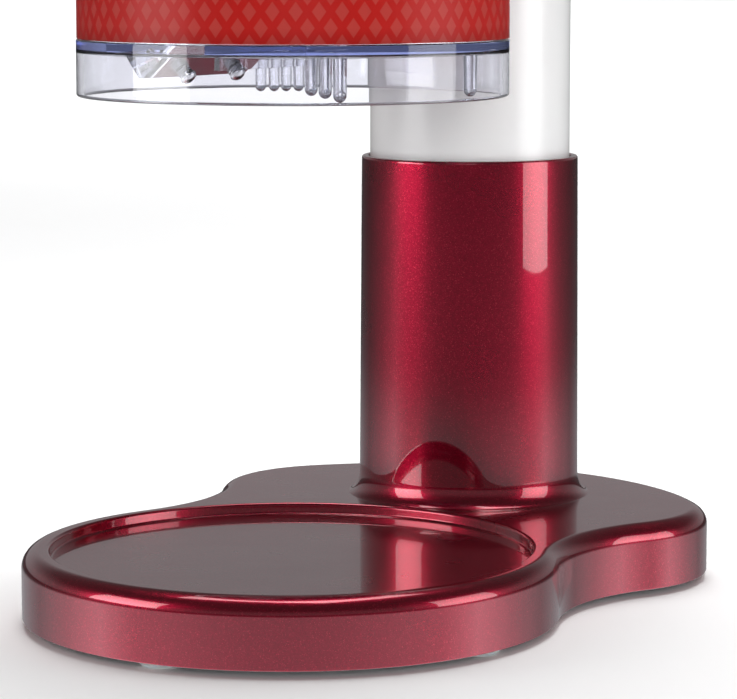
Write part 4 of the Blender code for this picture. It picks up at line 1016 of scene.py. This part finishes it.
def bezel():
    """The chrome ring round the button's well."""
    low, high = BEZEL_Z
    outer = BEZEL_X[1]
    profile = filleted([(outer, low, 0.2), (outer, low + 0.7, 0.3), (outer - 2.2, high, 0.9),
                        (WELL_MOUTH_R, high - 0.5, 0.4), (WELL_MOUTH_R, low, 0.2)], closed=True)
    made = lathed("button_ring", profile, (0.0, DRUM_Y), CHROME, steps=128, closed=True)
    settle(made, "chrome", "body", "button_bezel")


# ---------------------------------------------------------------- stage, light and camera

# What gloss sees: how bright it is at each height, and how the part below the horizon changes from the
# camera's side (-1) to the far side (1).
TABLE = ((-0.19, 1.0), (-0.146, 0.75), (-0.122, 0.2), (-0.05, 0.12), (0.0, 0.0))
TABLE_ROUND = ((-1.0, 0.8), (-0.65, 1.15), (-0.37, 1.25), (-0.07, 2.1), (0.3, 1.0), (0.66, 0.35))
SKY = ((0.0, 0.0), (0.03, 0.30), (0.2, 0.30), (0.45, 0.08))
CAMERA_LENS = 158.75
CAMERA_SENSOR = 36.0
CAMERA_FROM_DISH = (0.5558, -0.9114, 0.2268)
CAMERA_AZIMUTH = 30.0
CAMERA_PITCH = 7.247
# Name, place, target, size, radiance, spread, and whether it lights matt surfaces and shows in gloss. Places
# are in metres, seen from the camera: x to its right, y away from it.
LIGHTS = (
    ("left_strip", (-1.03, -0.38, 0.42), (0.0, 0.0, 0.42), (0.66, 0.6), 7.0, 110.0, False, True),
    ("right_strip", (1.06, -0.28, 0.313), (0.0, 0.0, 0.313), (0.62, 0.6), 4.3, 110.0, False, True),
    ("front_fill", (0.2, -2.2, 0.6), (0.0, 0.0, 0.25), (1.2, 0.8), 11.0, 70.0, True, False),
    ("right_fill", (1.3, -0.2, 0.5), (0.0, 0.0, 0.3), (0.6, 0.8), 1.8, 120.0, True, False),
    ("left_fill", (-1.3, -0.2, 0.6), (0.0, 0.0, 0.2), (0.6, 0.8), 2.6, 120.0, True, False),
    ("top_box", (0.0, 0.25, 1.5), (0.0, 0.25, 0.0), (1.1, 1.0), 7.0, 90.0, True, True),
    ("far_box", (0.0, 6.5, 3.2), (0.0, 6.5, 0.0), (14.0, 10.0), 5.2, 100.0, True, False),
)


def stage():
    """A plain pale floor, which gloss doesn't see."""
    bpy.ops.mesh.primitive_plane_add(size=60.0, location=(0.0, 0.0, 0.0))
    floor = bpy.context.object
    floor.name = "floor"
    shade = Shade("floor_paper", (0.90, 0.90, 0.90), 0.75)
    shade.set("Base Color", shade.ramp(shade.noise(3.0, 3.0), (0.3, 0.895), (0.7, 0.905)))
    floor.data.materials.append(shade.material)
    floor.visible_glossy = False


def softbox(name, at, target, size, radiance, spread, diffuse, glossy):
    """An area light, with its place and size in metres and its spread in degrees."""
    light = bpy.data.lights.new(name, "AREA")
    light.shape = "RECTANGLE"
    light.size, light.size_y = size
    half = math.radians(spread) / 2
    # A narrower spread makes the light's middle brighter by this much.
    gain = math.tan(half) / (math.tan(half) - half)
    light.energy = radiance * math.pi * size[0] * size[1] / gain
    light.spread = math.radians(spread)
    obj = bpy.data.objects.new(name, light)
    bpy.context.scene.collection.objects.link(obj)
    obj.location = at
    obj.rotation_euler = (Vector(target) - Vector(at)).to_track_quat("-Z", "Y").to_euler()
    obj.visible_diffuse = diffuse
    obj.visible_glossy = glossy


def surroundings():
    """What the gloss sees: a dim room over a floor that is brighter below and darker to the sides."""
    world = bpy.data.worlds.new("studio")
    world.use_nodes = True
    bpy.context.scene.world = world
    nodes, links = world.node_tree.nodes, world.node_tree.links

    def add(kind, inputs, **settings):
        node = nodes.new(kind)
        for key, value in settings.items():
            setattr(node, key, value)
        for key, value in inputs.items():
            if isinstance(value, bpy.types.NodeSocket):
                links.new(value, node.inputs[key])
            else:
                node.inputs[key].default_value = value
        return node

    def ramp(value, *stops):
        """Stops are (value from -1 to 1, grey)."""
        half = add("ShaderNodeMath", {0: value, 1: 0.5, 2: 0.5}, operation="MULTIPLY_ADD").outputs[0]
        node = add("ShaderNodeValToRGB", {"Fac": half})
        while len(node.color_ramp.elements) < len(stops):
            node.color_ramp.elements.new(0.5)
        for element, (position, grey) in zip(node.color_ramp.elements, stops):
            element.position = 0.5 + position / 2
            element.color = (grey, grey, grey * 1.02, 1.0)
        return node.outputs["Color"]

    place = nodes.new("ShaderNodeTexCoord").outputs["Generated"]
    height = add("ShaderNodeSeparateXYZ", {"Vector": place}).outputs["Z"]
    turn = math.radians(CAMERA_AZIMUTH)
    forward = add("ShaderNodeVectorMath", {0: place, 1: (-math.sin(turn), math.cos(turn), 0.0)},
                  operation="DOT_PRODUCT").outputs["Value"]
    floor = ramp(height, *TABLE)
    round_it = ramp(forward, *TABLE_ROUND)
    sky = ramp(height, *SKY)
    lit = add("ShaderNodeVectorMath", {0: floor, 1: round_it, 2: sky}, operation="MULTIPLY_ADD")
    links.new(lit.outputs["Vector"], nodes["Background"].inputs["Color"])


def camera():
    """The usual three-quarter view. Its place is in metres from the tray's centre on the table."""
    data = bpy.data.cameras.new("camera")
    data.lens = CAMERA_LENS
    data.sensor_width = CAMERA_SENSOR
    obj = bpy.data.objects.new("camera", data)
    bpy.context.scene.collection.objects.link(obj)
    obj.location = Vector(CAMERA_FROM_DISH) + Vector((0.0, DISH_Y * MM, 0.0))
    obj.rotation_euler = (math.radians(90.0 - CAMERA_PITCH), 0.0, math.radians(CAMERA_AZIMUTH))
    bpy.context.scene.camera = obj


def lights():
    """Two strips for the gloss, three fills, one box overhead and one over the far floor."""
    turn = Matrix.Rotation(math.radians(CAMERA_AZIMUTH), 4, "Z")
    for name, at, target, *settings in LIGHTS:
        softbox(name, tuple(turn @ Vector(at)), tuple(turn @ Vector(target)), *settings)


def show_cad_nodes():
    """Gives every CAD node that still shows its procedural material."""
    slots = {entry["node"]: entry["material_slot"] for entry in frame["record"]["subparts"]}
    for name, node in frame["nodes"].items():
        node.data.materials.clear()
        node.data.materials.append(BLADE_STEEL if name == "blade" else BY_SLOT[slots[name]])


show_cad_nodes()
camera()
stage()
surroundings()
lights()
base_body()
base_plate()
for number in range(1, 6):
    foot(number)
inlet_bush()
column()
for number in range(1, 5):
    pan_screw(f"base_screw_{number}", (0, 0, -1))
    pan_screw(f"head_screw_{number}", (0, 0, -1))
for number in (1, 2):
    pan_screw(f"column_screw_{number}", (0, 1, 0))
ice_container()
label()
ice_blade()
paddle()
head_housing()
head_cover()
start_button()
button_spring()
bezel()

bpy.context.scene.view_settings.view_transform = "Standard"
bpy.context.view_layer.update()
